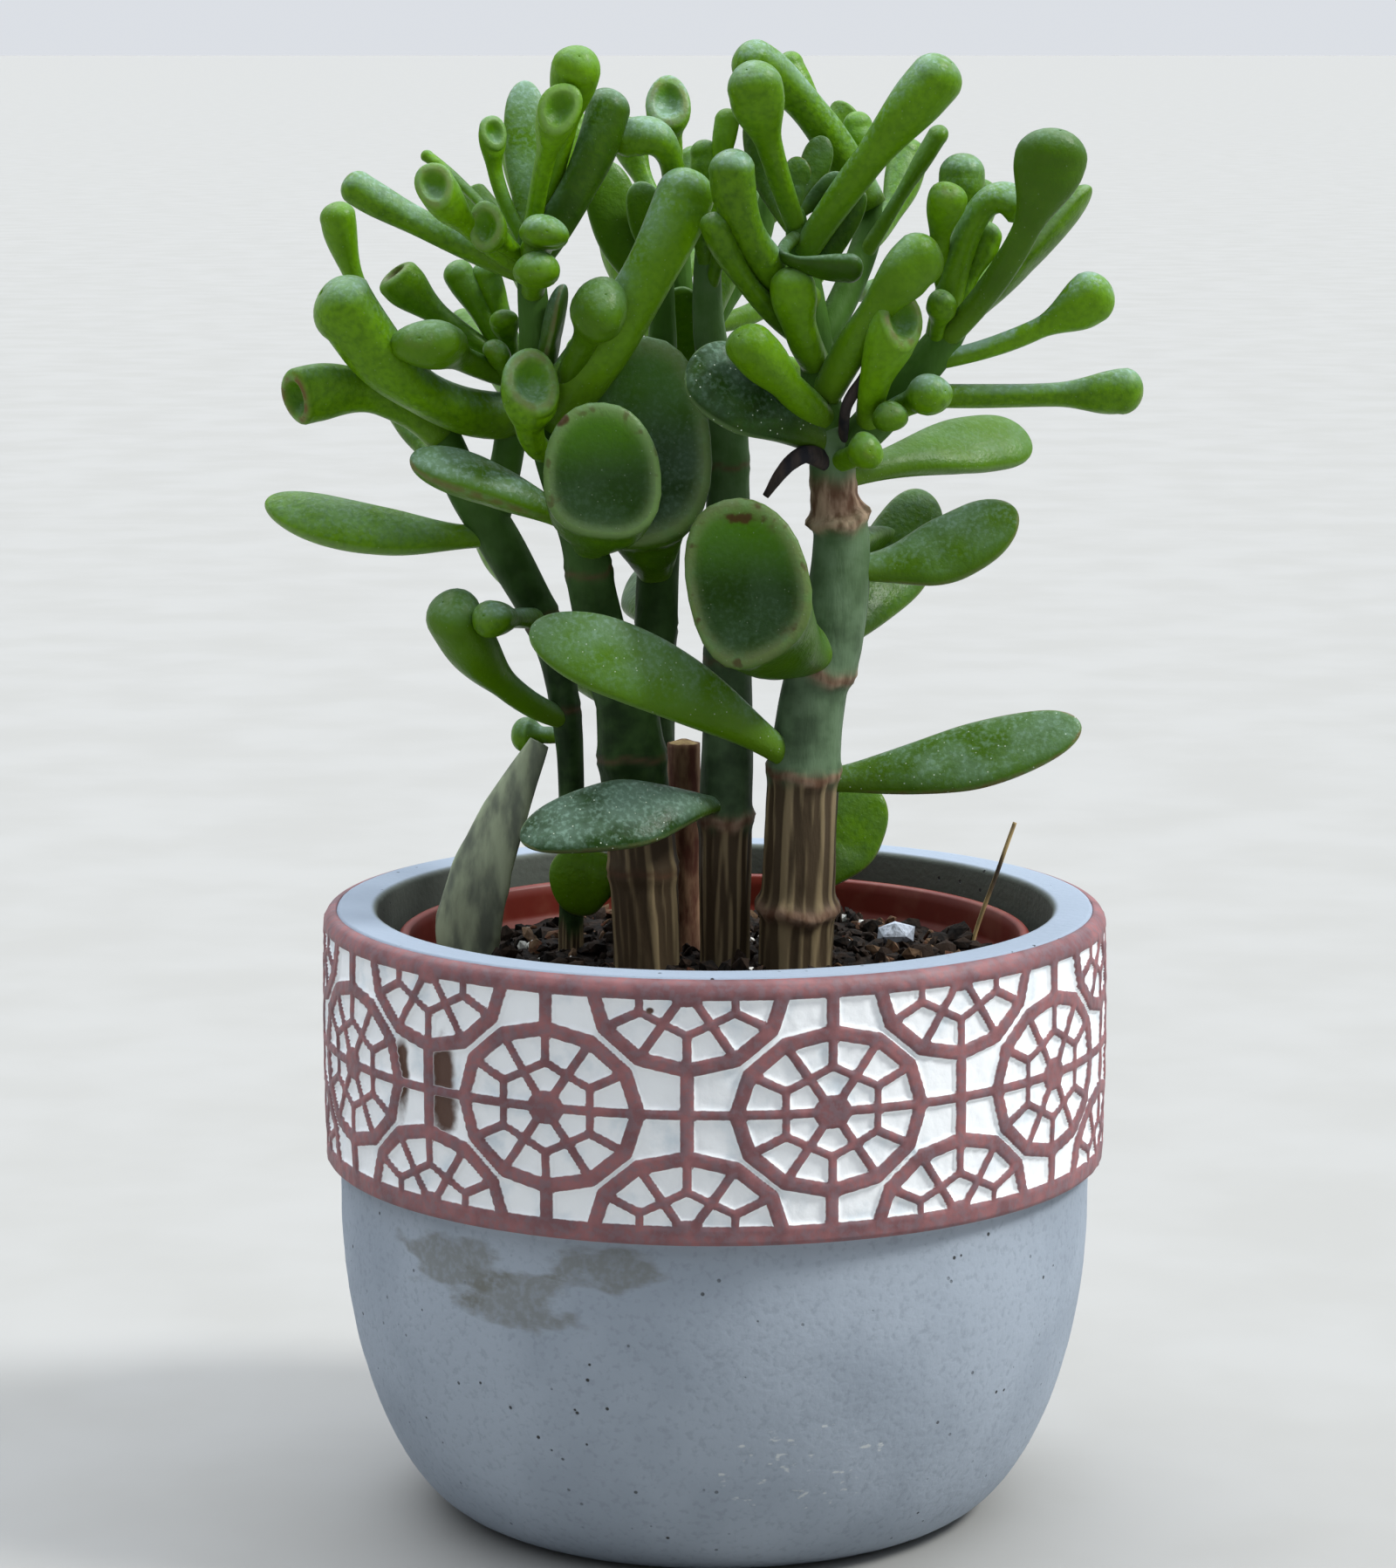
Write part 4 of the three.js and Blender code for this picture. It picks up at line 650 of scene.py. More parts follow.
leftStem = {
    "branches": {
        "A": {"rows": [[-13, -9, 80, 6.3], [-13, -9, 107, 6.4], [-14, -9, 130, 6.5], [-16, -9, 150, 6.4],
                       [-17, -9, 161, 5.6]],
             "nodes": [126, 148], "bark": 136, "bloom": 0.05},
        "A1": {"rows": [[-17, -9, 156, 5], [-20, -10, 166, 4.7], [-23, -11, 179, 4.5], [-25, -12, 190, 4.2],
                        [-29, -11, 201, 3.8], [-32.5, -10, 214, 3.4], [-34, -9, 232, 3],
                        [-35, -8, 247, 2.2]],
              "nodes": [184]},
        "A2": {"rows": [[-15, -8, 156, 4.5], [-11.5, -5, 170, 4.2], [-11, -2, 181, 4], [-10, 0, 195, 3.6],
                        [-10, 2, 210, 3.2], [-10, 3, 225, 2.8], [-10, 4, 241, 2]]},
    },
    "trumpet": [
        ["A1", 206, [-34.2, -18.5, 210], [-34.1, -21, 220], 4.4, 10.5, 0.55, [0.3, -1, 0.1],
         {"tall": 1.4, "deep": 1, "old": 0, "late": 0.8}],
        ["A1", 242, None, [-31, -25, 249], 5, 9.8, 0.55, [0, -1, -0.6], {"bloom": 0.7}],
        ["A1", 236, None, [-32.6, -25, 242], 4.6, 8.4, 0.75, [0, -1, -1]],
        ["A1", 241, None, [-42.3, -19, 248.9], 3, 7.5, 0.8, [-1, -2, 0.3],
         {"tall": 1.25, "deep": 1, "late": 1}],
        ["A1", 240, [-45, -16, 248], [-51.5, -24, 256.5], 3.8, 7.6, 0.9, [-1, -4, 1],
         {"tall": 1.15, "deep": 1, "old": 0, "late": 0.4}],
        ["A1", 242, [-46, 2, 254], [-55.2, 8, 261.5], 2.2, 3, 0.8, up],
        ["A1", 244, [-40.5, -7, 256], [-41.5, -8, 265.9], 2.8, 5.2, 0.9, [0.6, -1, 0.3],
         {"tall": 1.3, "deep": 1, "late": 1}],
        ["A1", 243, [-32.5, -16, 257], [-28.5, -25, 270.5], 3.2, 8.4, 0.9, [0, -5, 1],
         {"tall": 1.2, "deep": 1, "old": 0, "late": 1}],
        ["A1", 244, [-29.5, -12, 262], [-25, -21.5, 279.5], 4.2, 9.4, 0.9, [0.3, -5, 1],
         {"old": 0, "late": 1}],
        ["A1", 242, [-25, -12, 257], [-19.5, -10, 272], 6.5, 8.6, 0.95, [2, -1, 1.5],
         {"old": 0.6, "bloom": 0.5}],
        ["A1", 240, [-55, -9, 249], [-68.2, -9, 256.3], 5.4, 6.4, 0.9, [-3, -1, 2], {"bloom": 0.8}],
        ["A2", 237, [-8, -8, 260], [-17.3, -8, 266], 4.5, 8, 0.8, [-2, -1, 1], {"bloom": 0.8}],
        ["A1", 212, [-16, -16, 234], [-4.7, -12, 256.5], 10.5, 11.5, 0.75, [0.4, -1, 0.6], {"bloom": 1}],
        ["A1", 212, [-25, -19, 226], [-20.4, -25, 235.8], 4, 9.8, 0.55, front,
         {"tall": 1.25, "old": 0.6, "late": 0.6}],
        ["A1", 230, [-38, 14, 240], [-48, 27, 252], 3.5, 8, 0.8, [-1, 1, 1], {"deep": 1}],
        ["A1", 238, [-36, 10, 250], [-38, 24, 264], 3.5, 8, 0.8, [0, 1, 1]],
        ["A1", 245, [-30, 4, 258], [-27, 12, 268], 3, 6.5, 0.8, [0, 0, 1]],
        ["A1", 205, [-27, 4, 211], [-30, 22, 216], 3.5, 8, 0.7, [0, 1, 2], {"deep": 0.8}],
    ],
    "spoon": [
        ["A1", 188, [-22, -20, 194], [-20.8, -28, 204], 5, 21.4, 0.45, [0.05, -1, 0.1],
         {"tall": 1.22, "scar": 0.5, "old": 0.6}],
        ["A2", 181, [-13, -9, 193], [-15, -14, 208], 6, 28, 0.4, [-0.05, -1, 0.15],
         {"tall": 1.45, "old": 0.7}],
    ],
    "paddle": [
        ["A", 127, None, [-31.5, -6, 122], 4, 14, 0.45, front, {"bloom": 0, "old": 0.6}],
        ["A1", 193, [-42, -17, 201], [-57, -18, 206], 4.5, 11, 0.7, [0, -1, 1.5],
         {"bloom": 0.9, "old": 0.6}],
        ["A1", 244, None, [-36, 4, 275.5], 4.5, 8.8, 0.6, frontUp, {"bloom": 1}],
        ["A1", 216, None, [-28.3, -14, 238], 3, 9, 0.45, [1, -0.2, 0], {"bloom": 1, "old": 0.9}],
    ],
}

middleStem = {
    "branches": {
        "B": {"rows": [[2, -5, 80, 4.7], [2, -5, 107, 4.8], [2, -5, 133, 5.1], [2.5, -4, 150, 4.9],
                       [2.5, -3, 165, 4.6], [2.5, -2, 200, 4.1], [2, -1, 215, 3.7], [-1, -1, 228, 3.2],
                       [-1.5, -1, 246, 2.2]],
             "nodes": [135, 166, 203], "bark": 134, "bloom": 0.4, "collars": [[135.3, 1.1, 0.5]]},
    },
    "trumpet": [
        ["B", 232, None, [-2, -4, 250], 2.5, 5, 0.6, frontUp],
        ["B", 234, None, [2, -7, 249], 2.5, 4.5, 0.6, frontUp],
        ["B", 244, None, [-2, 3.5, 263], 3, 6, 0.8, [-1, -1, 2]],
        ["B", 244, None, [2.5, 2, 269], 3, 5.5, 0.8, up],
        ["B", 226, [0, 10, 232], [2, 20, 243], 3.5, 8, 0.7, [0, 1, 1]],
        ["B", 213, [2, 11, 216], [3, 22, 222], 3.5, 9, 0.6, [0, 1, 1], {"deep": 1}],
        ["B", 240, [3, 6, 250], [6, 12, 260], 3, 7, 0.8, [0, 1, 2]],
    ],
    "paddle": [
        ["B", 138, [-13.5, -24, 140], [-36.5, -28, 135.5], 3.5, 15, 0.4, [0, -1, 0.9],
         {"bloom": 0.7, "old": 0.9, "white": 1}],
        ["B", 167, [4, 14, 174], [6, 32, 184], 4, 12, 0.45, [0, 1, 1]],
    ],
}

rightStem = {
    "branches": {
        "C": {"rows": [[15.5, -10, 80, 6.8], [15.5, -10, 107, 7], [16, -10, 119, 7.1], [17, -10, 144, 6.8],
                       [19, -10, 161, 6.3], [22, -10, 170, 6.1], [24, -10, 189, 5.4], [22.5, -10, 199, 4.5],
                       [22, -10, 210, 4.2]],
             "nodes": [119, 145, 165], "bark": 144, "bloom": 0.75, "cork": [[197.5, 4.5]],
             "collars": [[118.5, 1.2, 0.9], [145, 0.8, 0.3], [165, 1.2, 0.3], [193.4, 1.3, 1.6]]},
        "C1": {"rows": [[22, -10, 207, 4], [20, -10, 217, 3.6], [19, -9, 227, 3.2], [17, -8, 238, 3],
                        [15, -8, 251, 2]]},
        "C2": {"rows": [[22, -10, 204, 3.6], [30, -10, 212, 3.8], [36, -10, 219, 3.8], [42, -10, 226, 3.6],
                        [46, -10, 232, 2.8]]},
        "C3": {"rows": [[19, -9, 225, 2.8], [25, -2, 236, 2.8], [29, 4, 246, 2.6], [30, 6, 253, 2]]},
    },
    "trumpet": [
        ["C", 204, None, [28.7, -24, 208], 3.8, 7.8, 0.75, [0.2, -1, 0.1], {"red": 0.6, "late": 0.6}],
        ["C1", 212, [14, -22, 219], [5.5, -30, 228.5], 5.6, 10, 0.85, [-0.6, -2, 0.2],
         {"old": 0.3, "late": 0.4}],
        ["C1", 226, [7, -17, 237], [-0.5, -23, 250], 4.5, 6.5, 0.8, [-1, -1, 2]],
        ["C1", 234, [7, -20, 246], [2.8, -25, 261], 6.8, 8.8, 0.9, [-0.6, -0.6, 1], {"bloom": 1}],
        ["C1", 247, [13.5, -20, 243], [26, -22, 241.3], 2.6, 6, 0.6, [1, -1, -1], {"old": 0.8, "late": 0.7}],
        ["C1", 222, [16, -17, 230], [14, -20, 239.5], 6, 8, 0.8, [0, -1, 2]],
        ["C1", 216, [29.5, -22, 233], [38.6, -24, 244.7], 6, 11, 0.8, [1.4, -0.4, 0.4],
         {"deep": -0.3, "red": 0.6, "old": 0.4}],
        ["C1", 248, [11, -16, 261], [6.8, -24, 276.5], 4, 10.2, 0.9, [-1, -2, 0.2],
         {"bloom": 0.6, "late": 0.8}],
        ["C1", 243, [28.5, -14, 261], [42, -16, 277.5], 5.6, 10.2, 0.85, [1.5, -1, 1.5], {"bloom": 1}],
        ["C3", 241, None, [42.5, 0, 266], 3, 5.4, 0.7, [1, 0, 1], {"old": 0.6}],
        ["C3", 251, [18.5, 2, 269], [6, -4, 280], 7, 9, 0.8, [-2, 0, 1.5], {"bloom": 1}],
        ["C3", 251, None, [14, 14, 279.5], 3, 5.6, 0.8, up, {"late": 0.6}],
        ["C3", 252, None, [27, 12, 268], 3, 6.5, 0.8, up],
        ["C2", 211, [30, -20, 221], [34.2, -23, 232], 5.4, 9.6, 0.9, [0.8, -1, 0.6],
         {"deep": 1.6, "old": 0}],
        ["C2", 225, None, [42.3, -18, 235.5], 2.5, 6, 0.8, [0, -1, 1]],
        ["C2", 212, None, [33, -22, 214], 2.5, 6.5, 0.9, [0, -1, 0.5], {"red": 0.6}],
        ["C2", 213, None, [41.3, -20, 218.5], 5, 9, 0.8, [1, -1, 0.3], {"bloom": 1, "late": 0.4}],
        ["C2", 217, [58, -11, 217], [78.5, -11, 217.9], 4.6, 8.6, 0.85, [1, -0.6, -0.6],
         {"red": 1, "bloom": 0.7, "late": 1}],
        ["C2", 223, [57, -12, 228], [72, -12, 236.5], 3.4, 10.2, 0.85, [2, -1, 0.5],
         {"bloom": 1.4, "old": 0, "late": 0.8}],
        ["C2", 227, [55, -23.5, 244], [62.5, -28, 264], 4.6, 12.8, 0.62, [0.1, -1, 0.1],
         {"old": 0.7, "late": 0.8}],
        ["C2", 226, [48, -13.5, 249.5], [57, -15, 253.5], 5.6, 7.6, 0.85, [1, -1, 1], {"bloom": 1}],
        ["C2", 230, None, [51, -8, 248], 3, 6.5, 0.8, frontUp],
        ["C2", 231, [42, -13, 243], [43.1, -20, 255.2], 3, 7.5, 0.9, [0, -5, 1], {"red": 1, "late": 1}],
        ["C2", 231, None, [46.8, -2, 259.8], 4, 9, 0.8, [0, -1, 2], {"bloom": 0.8, "late": 0.6}],
        ["C2", 222, [48, 8, 232], [56, 24, 240], 3.5, 8.5, 0.8, [1, 1, 1], {"deep": 1.2}],
        ["C2", 229, [48, 8, 242], [52, 20, 254], 3.5, 8, 0.8, [0, 1, 1]],
        ["C3", 244, [34, 18, 250], [38, 30, 262], 3.5, 8, 0.8, [0, 1, 1]],
        ["C3", 236, [32, 14, 236], [40, 32, 240], 3.5, 9, 0.8, [1, 1, 1], {"deep": 1}],
    ],
    "spoon": [
        ["C", 168, [13, -22, 173], [5.8, -32, 184], 6, 23.4, 0.4, [-0.3, -1, 0.2],
         {"tall": 1.45, "scar": 0.7, "old": 0.8}],
    ],
    "paddle": [
        ["C", 143, [44, -13, 147.5], [69.5, -14, 155], 4.5, 14, 0.45, [0, -1, 0.8],
         {"bloom": 0.45, "old": 0.7, "white": 0.6, "red": 0.6}],
        ["C", 146, [-9, -25, 164.5], [-34.5, -25, 174.5], 5, 15, 0.4, [-0.2, -1, 0.5],
         {"bloom": 0.6, "old": 0.7, "white": 0.4}],
        ["C", 121, [25, -2, 129], [29, 3, 141], 4, 13, 0.4, front, {"bloom": 0, "old": 0.4}],
        ["C", 184, [42, -9, 187], [57, -9, 195.5], 5, 13.5, 0.5, [0, -1, 0.7], {"bloom": 0.5}],
        ["C", 168, [33, 8, 180], [41, 22, 196], 4, 15, 0.4, [0.2, -1, 0.2]],
        ["C", 201, [46, 8, 205.5], [61.5, 18, 206], 4.5, 13.5, 0.5, [0, -1, 1]],
        ["C", 207, [8, -21, 217], [-5, -24, 224], 6, 17, 0.4, [0, -1, 0.6],
         {"bloom": 0.6, "old": 0.8, "white": 1}],
        ["C1", 250, None, [15.4, -6, 261.5], 2.5, 5.4, 0.5, front, {"old": 0.5, "red": 0.8}],
        ["C1", 250, None, [20.6, -4, 265.2], 2.5, 6, 0.5, front],
        ["C1", 250, None, [23.9, -8, 258.3], 2, 4.5, 0.6, front],
        ["C1", 246, [9, 2, 258], [7, 6, 270], 2.5, 5.5, 0.6, [-1, -1, 1]],
        ["C1", 236, None, [28, -8, 255], 2.5, 4.5, 0.7, front],
        ["C2", 229, [58, -7, 242], [70.5, -7, 256], 5, 11, 0.6, [1, -0.3, 0], {"old": 0.3}],
        ["C", 186, [28, 8, 188], [34, 30, 182], 4, 12, 0.5, [0, 1, 1]],
    ],
}

backStem = {
    "branches": {
        "F": {"rows": [[-12, 18, 80, 4.4], [-12, 18, 107, 4.4], [-12, 19, 150, 4.2], [-11, 21, 180, 4],
                       [-9, 24, 205, 3.5], [-7, 26, 226, 3], [-7, 26, 245, 2]],
             "nodes": [140, 170], "bark": 132},
        "G": {"rows": [[-8, 25, 216, 2.8], [0, 30, 230, 2.6], [8, 34, 243, 2.4], [11, 35, 254, 1.8]]},
    },
    "trumpet": [
        ["F", 243, [-8.2, 20, 260], [-9, 18, 271], 3.5, 8.3, 0.6, [0, -1, 0.2],
         {"tall": 1.5, "deep": 1.2, "bloom": 1.4, "old": 0, "late": 1}],
        ["F", 205, [-18, 38, 212], [-26, 52, 222], 4, 9, 0.7, [-1, 2, 1], {"deep": 1.2}],
        ["F", 200, [-4, 42, 205], [-2, 58, 212], 4, 9, 0.8, [0, 2, 1]],
        ["F", 222, [-16, 40, 232], [-20, 54, 246], 4, 8.5, 0.8, [0, 1, 1], {"deep": 1}],
        ["F", 236, [-4, 38, 246], [-4, 48, 260], 3.5, 8, 0.9, [0, 1, 1]],
        ["F", 244, [-14, 36, 256], [-18, 42, 266], 3.5, 7.5, 0.9, [0, 1, 2]],
        ["G", 228, [10, 42, 231], [20, 56, 240], 4, 9, 0.8, [1, 2, 1], {"deep": 1.2}],
        ["G", 238, [10, 48, 248], [8, 60, 254], 3.5, 8, 0.8, [0, 2, 1]],
        ["G", 248, [18, 38, 256], [26, 42, 268], 3.5, 8, 0.9, [1, 1, 1], {"deep": 0.8}],
        ["G", 252, None, [10, 44, 272], 3, 7, 0.9, [0, 1, 2]],
        ["G", 224, [6, 40, 220], [14, 54, 216], 4, 10, 0.6, [0, 1, 1], {"deep": 1}],
    ],
    "paddle": [
        ["F", 227, [-17, 27, 244], [-22, 28, 260], 5, 11, 0.6, frontUp],
        ["F", 233, [-12, 23, 246], [-15, 22, 256], 3.5, 8, 0.6, frontUp],
        ["F", 215, None, [-6, 14, 236], 4, 10, 0.5, front],
        ["F", 184, [-18, 36, 190], [-22, 50, 202], 4, 11, 0.5, [0, 1, 1]],
        ["F", 170, [-14, 36, 174], [-10, 54, 180], 4, 12, 0.5, [0, 1, 1]],
        ["F", 152, [-24, 28, 158], [-34, 34, 168], 4, 10, 0.5, [0, 1, 1]],
    ],
}

plants = {
    "leafy_stem_outer": outerStem,
    "leafy_stem_left": leftStem,
    "leafy_stem_middle": middleStem,
    "leafy_stem_right": rightStem,
    "leafy_stem_back": backStem,
}


def leafMaterial():
    look = leafLook
    smoothest, roughest = look["roughness"]
    material, tree, shader, place = newMaterial("leaf", smoothest, look["specular"])
    names = ("cup", "low", "rim", "along", "tint", "age", "red", "scar", "dry", "white", "bloomy")
    cup, low, rim, along, tint, age, red, scar, dry, white, bloomy = (given(tree, name) for name in names)
    blotch = noise(tree, place, look["blotches"], 4)
    fine = noise(tree, place, look["mottles"], 3)
    aged = plus(tree, age, times(tree, blotch, 0.5))
    colour = mix(tree, step(tree, aged, 0.0, 1.2), look["young"], look["old"])
    colour = mix(tree, step(tree, fine, 0.35, 0.75, 0.45), colour, look["green"])
    colour = mix(tree, step(tree, tint, -1, 1, 0.45), colour, look["young"])
    colour = mix(tree, step(tree, along, look["footEnd"], 0.0, 0.55), colour, look["foot"])
    colour = mix(tree, times(tree, cup, 0.6), colour, look["hollow"])
    # painted shade inside an open end, darkest at its low side
    colour = mix(tree, times(tree, low, 0.85), colour, look["hollowPaintedShade"])
    clouds = step(tree, noise(tree, place, look["clouds"], 3), 0.3, 0.65, 0.7)
    mist = plus(tree, clouds, step(tree, noise(tree, place, look["frost"], 4), 0.45, 0.7, 0.6))
    # painted sheen: the bloom colour is laid mostly on upward faces, standing for the sky's reflection as
    # well as for wax
    skywardForSheen = add(tree, "SeparateXYZ", {0: add(tree, "NewGeometry").outputs["Normal"]}).outputs["Z"]
    bloomy = plus(tree, bloomy, look["leastBloom"])
    waxy = times(tree, bloomy, step(tree, skywardForSheen, -0.1, 0.8, 0.9))
    colour = mix(tree, times(tree, mist, waxy), colour, look["bloom"])
    broken = noise(tree, place, look["breaks"], 3)
    edge = times(tree, rim, step(tree, broken, 0.3, 0.62))
    # painted highlight: a pale line along every rim
    colour = mix(tree, times(tree, rim, 0.45), colour, look["rimHighlight"])
    colour = mix(tree, times(tree, edge, red), colour, look["redRim"])
    burnt = step(tree, noise(tree, place, look["burns"], 2), 0.58, 0.68)
    scarred = times(tree, burnt, times(tree, scar, rim))
    colour = mix(tree, scarred, colour, look["scar"])
    for centre, size in look["scars"]:
        wound = patch(tree, place, centre, size, broken, look["scarEdge"])
        colour = mix(tree, times(tree, wound, 0.85), colour, look["scar"])
    colour = mix(tree, times(tree, dry, cup), colour, look["scar"])
    dots = specks(tree, place, look["speckGap"], look["speckRadius"])
    dots = times(tree, dots, plus(tree, white, look["leastSpecks"]))
    paint(tree, shader, mix(tree, dots, colour, look["speck"]))
    pits = noise(tree, place, look["pits"], 2)
    bumped(tree, shader, plus(tree, fine, times(tree, pits, 0.4)), look["dentDepth"], 0.6)
    rough = times(tree, step(tree, blotch, 0.3, 0.7), roughest - smoothest)
    tree.links.new(plus(tree, rough, smoothest), shader.inputs["Roughness"])
    return material


def stemMaterial():
    look = stemLook
    material, tree, shader, place = newMaterial("stem bark", look["roughness"], look["specular"])
    names = ("bark", "stripe", "cork", "line", "bloomy")
    bark, stripe, cork, line, bloomy = (given(tree, name) for name in names)
    mottle = noise(tree, place, look["mottles"], 4)
    grain = noise(tree, place, look["grain"], 4, stretch=(1, 1, 0.25))
    green = mix(tree, step(tree, mottle, 0.3, 0.7), look["green"], look["greenPale"])
    height = add(tree, "SeparateXYZ", {0: place}).outputs["Z"]
    green = mix(tree, step(tree, height, *look["crown"], 0.75), green, look["greenTop"])
    wax = plus(tree, step(tree, mottle, 0.3, 0.7, 0.5), 0.5)
    green = mix(tree, times(tree, bloomy, wax), green, look["waxy"])
    wood = plus(tree, times(tree, stripe, 0.75), times(tree, grain, 0.5))
    barkColour = mix(tree, step(tree, wood, 0.35, 0.95), look["barkDark"], look["barkPale"])
    corkColour = mix(tree, step(tree, grain, 0.35, 0.65), look["corkDark"], look["cork"])
    colour = mix(tree, bark, green, barkColour)
    colour = mix(tree, cork, colour, corkColour)
    colour = mix(tree, times(tree, line, 0.6), colour, look["corkDark"])
    paint(tree, shader, colour)
    relief = plus(tree, grain, times(tree, mottle, 0.5))
    bumped(tree, shader, relief, look["relief"], 0.7)
    return material


def addPlant():
    forms = {
        "trumpet": (trumpetLeaves, trumpetShape, 100),
        "spoon": (trumpetLeaves, spoonShape, 200),
        "paddle": (paddleLeaves, paddleShape, 300),
    }
    materials = [leafMaterial(), stemMaterial()]
    for number, (name, plant) in enumerate(plants.items()):
        branches = plant["branches"]
        parts = [stemTube(branch, 10 * number + k) for k, branch in enumerate(branches.values())]
        for form, (grow, shape, seed) in forms.items():
            if form in plant:
                parts.append(grow(branches, plant[form], shape, seed + number))
        piece = makePiece(name + "_grown", parts, materials)
        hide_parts(name)


addPlant()
print("plant grown")


def throughPoints(points, count):
    # a smooth curve through a few points: cubic pieces whose slopes come from the neighbours
    table = np.array(points, float)
    table = np.concatenate([2 * table[:1] - table[1:2], table, 2 * table[-1:] - table[-2:-1]])
    at = np.linspace(0, len(points) - 1, count)
    i = np.minimum(at.astype(int), len(points) - 2)
    t = (at - i)[:, None]
    p0, p1, p2, p3 = table[i], table[i + 1], table[i + 2], table[i + 3]
    squared, cubed = 2 * p0 - 5 * p1 + 4 * p2 - p3, 3 * p1 - p0 - 3 * p2 + p3
    return 0.5 * (2 * p1 + (p2 - p0) * t + squared * t**2 + cubed * t**3)


def sweep(points, half, thick, face, count, around, seed, crumple=0.0):
    # an oval tube along a curve, its half width and thickness read along it, turned to face one way;
    # crumple folds its surface in and out by that share of its size
    curve = throughPoints(points, count)
    along = unit(np.gradient(curve, axis=0))
    wanted = np.array(face, float)
    front = unit(wanted - (along @ wanted)[:, None] * along)
    side = np.cross(front, along)
    u = np.linspace(0, 1, count)
    wide = np.interp(u, np.linspace(0, 1, len(half)), half)[:, None]
    deep = np.interp(u, np.linspace(0, 1, len(thick)), thick)[:, None]
    phi = np.linspace(0, 2 * math.pi, around, endpoint=False)[None, :]
    fold = 1 + crumple * ripple(seed, 2 * phi + 5 * u[:, None], 9 * u[:, None] + phi)
    across, over = wide * fold * np.cos(phi), deep * fold * np.sin(phi)
    ring = across[..., None] * side[:, None] + over[..., None] * front[:, None]
    return tubes((curve[:, None] + ring)[None], curve[:1], curve[-1:], {})


deadBits = {
    "withered": [[-46.5, 5, 101], [-48, 5, 111], [-44.5, 5, 126], [-34, 5, 148.5]],
    "witheredHalf": [4.2, 5.8, 6.6, 6.5, 5.0, 2.2],
    "witheredThick": [2.2, 2.4, 2.2, 1.8, 1.6, 1.0],
    "straw": [[50, 12, 96], [51, 12, 108], [56, 12, 123], [59, 13, 131.5]],
    "strawRadius": 0.42,
    "stub": [[-6, 8, 80], [-6, 8, 110], [-6, 8, 148]],
    "stubRadius": 3.2,
    "cutHigh": 0.8, # how far the cut face's middle stands above the stub's end
    "twists": [
        [[21, -13, 205], [17, -18, 206.5], [13, -19.5, 204], [9.5, -19, 198.8]],
        [[24, -12, 208], [24.5, -17, 215], [27, -17, 219.5], [30, -16, 224.5]],
    ],
    "twistHalf": [[1.9, 1.7, 1.4, 0.7], [1.0, 1.1, 1.1, 0.8]],
    "twistThick": [1.2, 1.2, 1.0, 0.5],
    "leafDark": rgb(108, 116, 102),
    "leafPale": rgb(166, 178, 148),
    "strawPale": rgb(196, 170, 118),
    "stubDark": rgb(84, 46, 34),
    "stubPale": rgb(150, 118, 92),
    "black": rgb(24, 24, 32),
    "blackBrown": rgb(64, 54, 50),
    "relief": 0.6,
    "specular": 0.25,
}


def woodyMaterial(name, dark, pale, size, roughness):
    # a dry brown thing: two colours blended by a grain that runs up it
    material, tree, shader, place = newMaterial(name, roughness, deadBits["specular"])
    grain = noise(tree, place, size, 5, stretch=(1, 1, 0.3))
    paint(tree, shader, mix(tree, step(tree, grain, 0.35, 0.65), dark, pale))
    bumped(tree, shader, grain, deadBits["relief"], 0.8)
    return material


def addDeadBits():
    look = deadBits
    half, thick = look["witheredHalf"], look["witheredThick"]
    leaf = sweep(look["withered"], half, thick, [-0.3, -1, 0.4], 70, 40, 41, 0.14)
    dry = woodyMaterial("withered leaf", look["leafDark"], look["leafPale"], 4, 0.7)
    piece = makePiece("withered_leaf_dry", [leaf], [dry])
    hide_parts("withered_leaf")
    radius = [look["strawRadius"]] * 2
    straw = sweep(look["straw"], radius, radius, [0, -1, 0], 60, 10, 42, 0.1)
    dry = woodyMaterial("straw", look["blackBrown"], look["strawPale"], 6, 0.6)
    piece = makePiece("dry_straw_stalk", [straw], [dry])
    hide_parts("dry_straw")
    radius = [look["stubRadius"]] * 3
    stub = sweep(look["stub"], radius, radius, [0, -1, 0], 90, 32, 43, 0.04)
    cut = np.linspace(0.98, 0.196, 5) * look["stubRadius"]
    x, y, z = look["stub"][-1]
    top = sweep([[x, y, z - 0.1], [x, y, z + look["cutHigh"]]], cut, cut, [0, -1, 0], 6, 32, 43)
    top["slot"] = 1
    bark = woodyMaterial("stub bark", look["stubDark"], look["stubPale"], 3, 0.8)
    cutWood = woodyMaterial("cut wood", look["stubPale"], look["strawPale"], 2, 0.8)
    piece = makePiece("cut_stub_bark", [stub, top], [bark, cutWood])
    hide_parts("cut_stub")
    curls = [sweep(points, half, look["twistThick"], [0, -1, 0.3], 40, 14, 44 + k, 0.2)
             for k, (points, half) in enumerate(zip(look["twists"], look["twistHalf"]))]
    dry = woodyMaterial("dried twist", look["black"], look["blackBrown"], 3, 0.75)
    piece = makePiece("dried_twists", curls, [dry])


addDeadBits()
print("dead bits added")


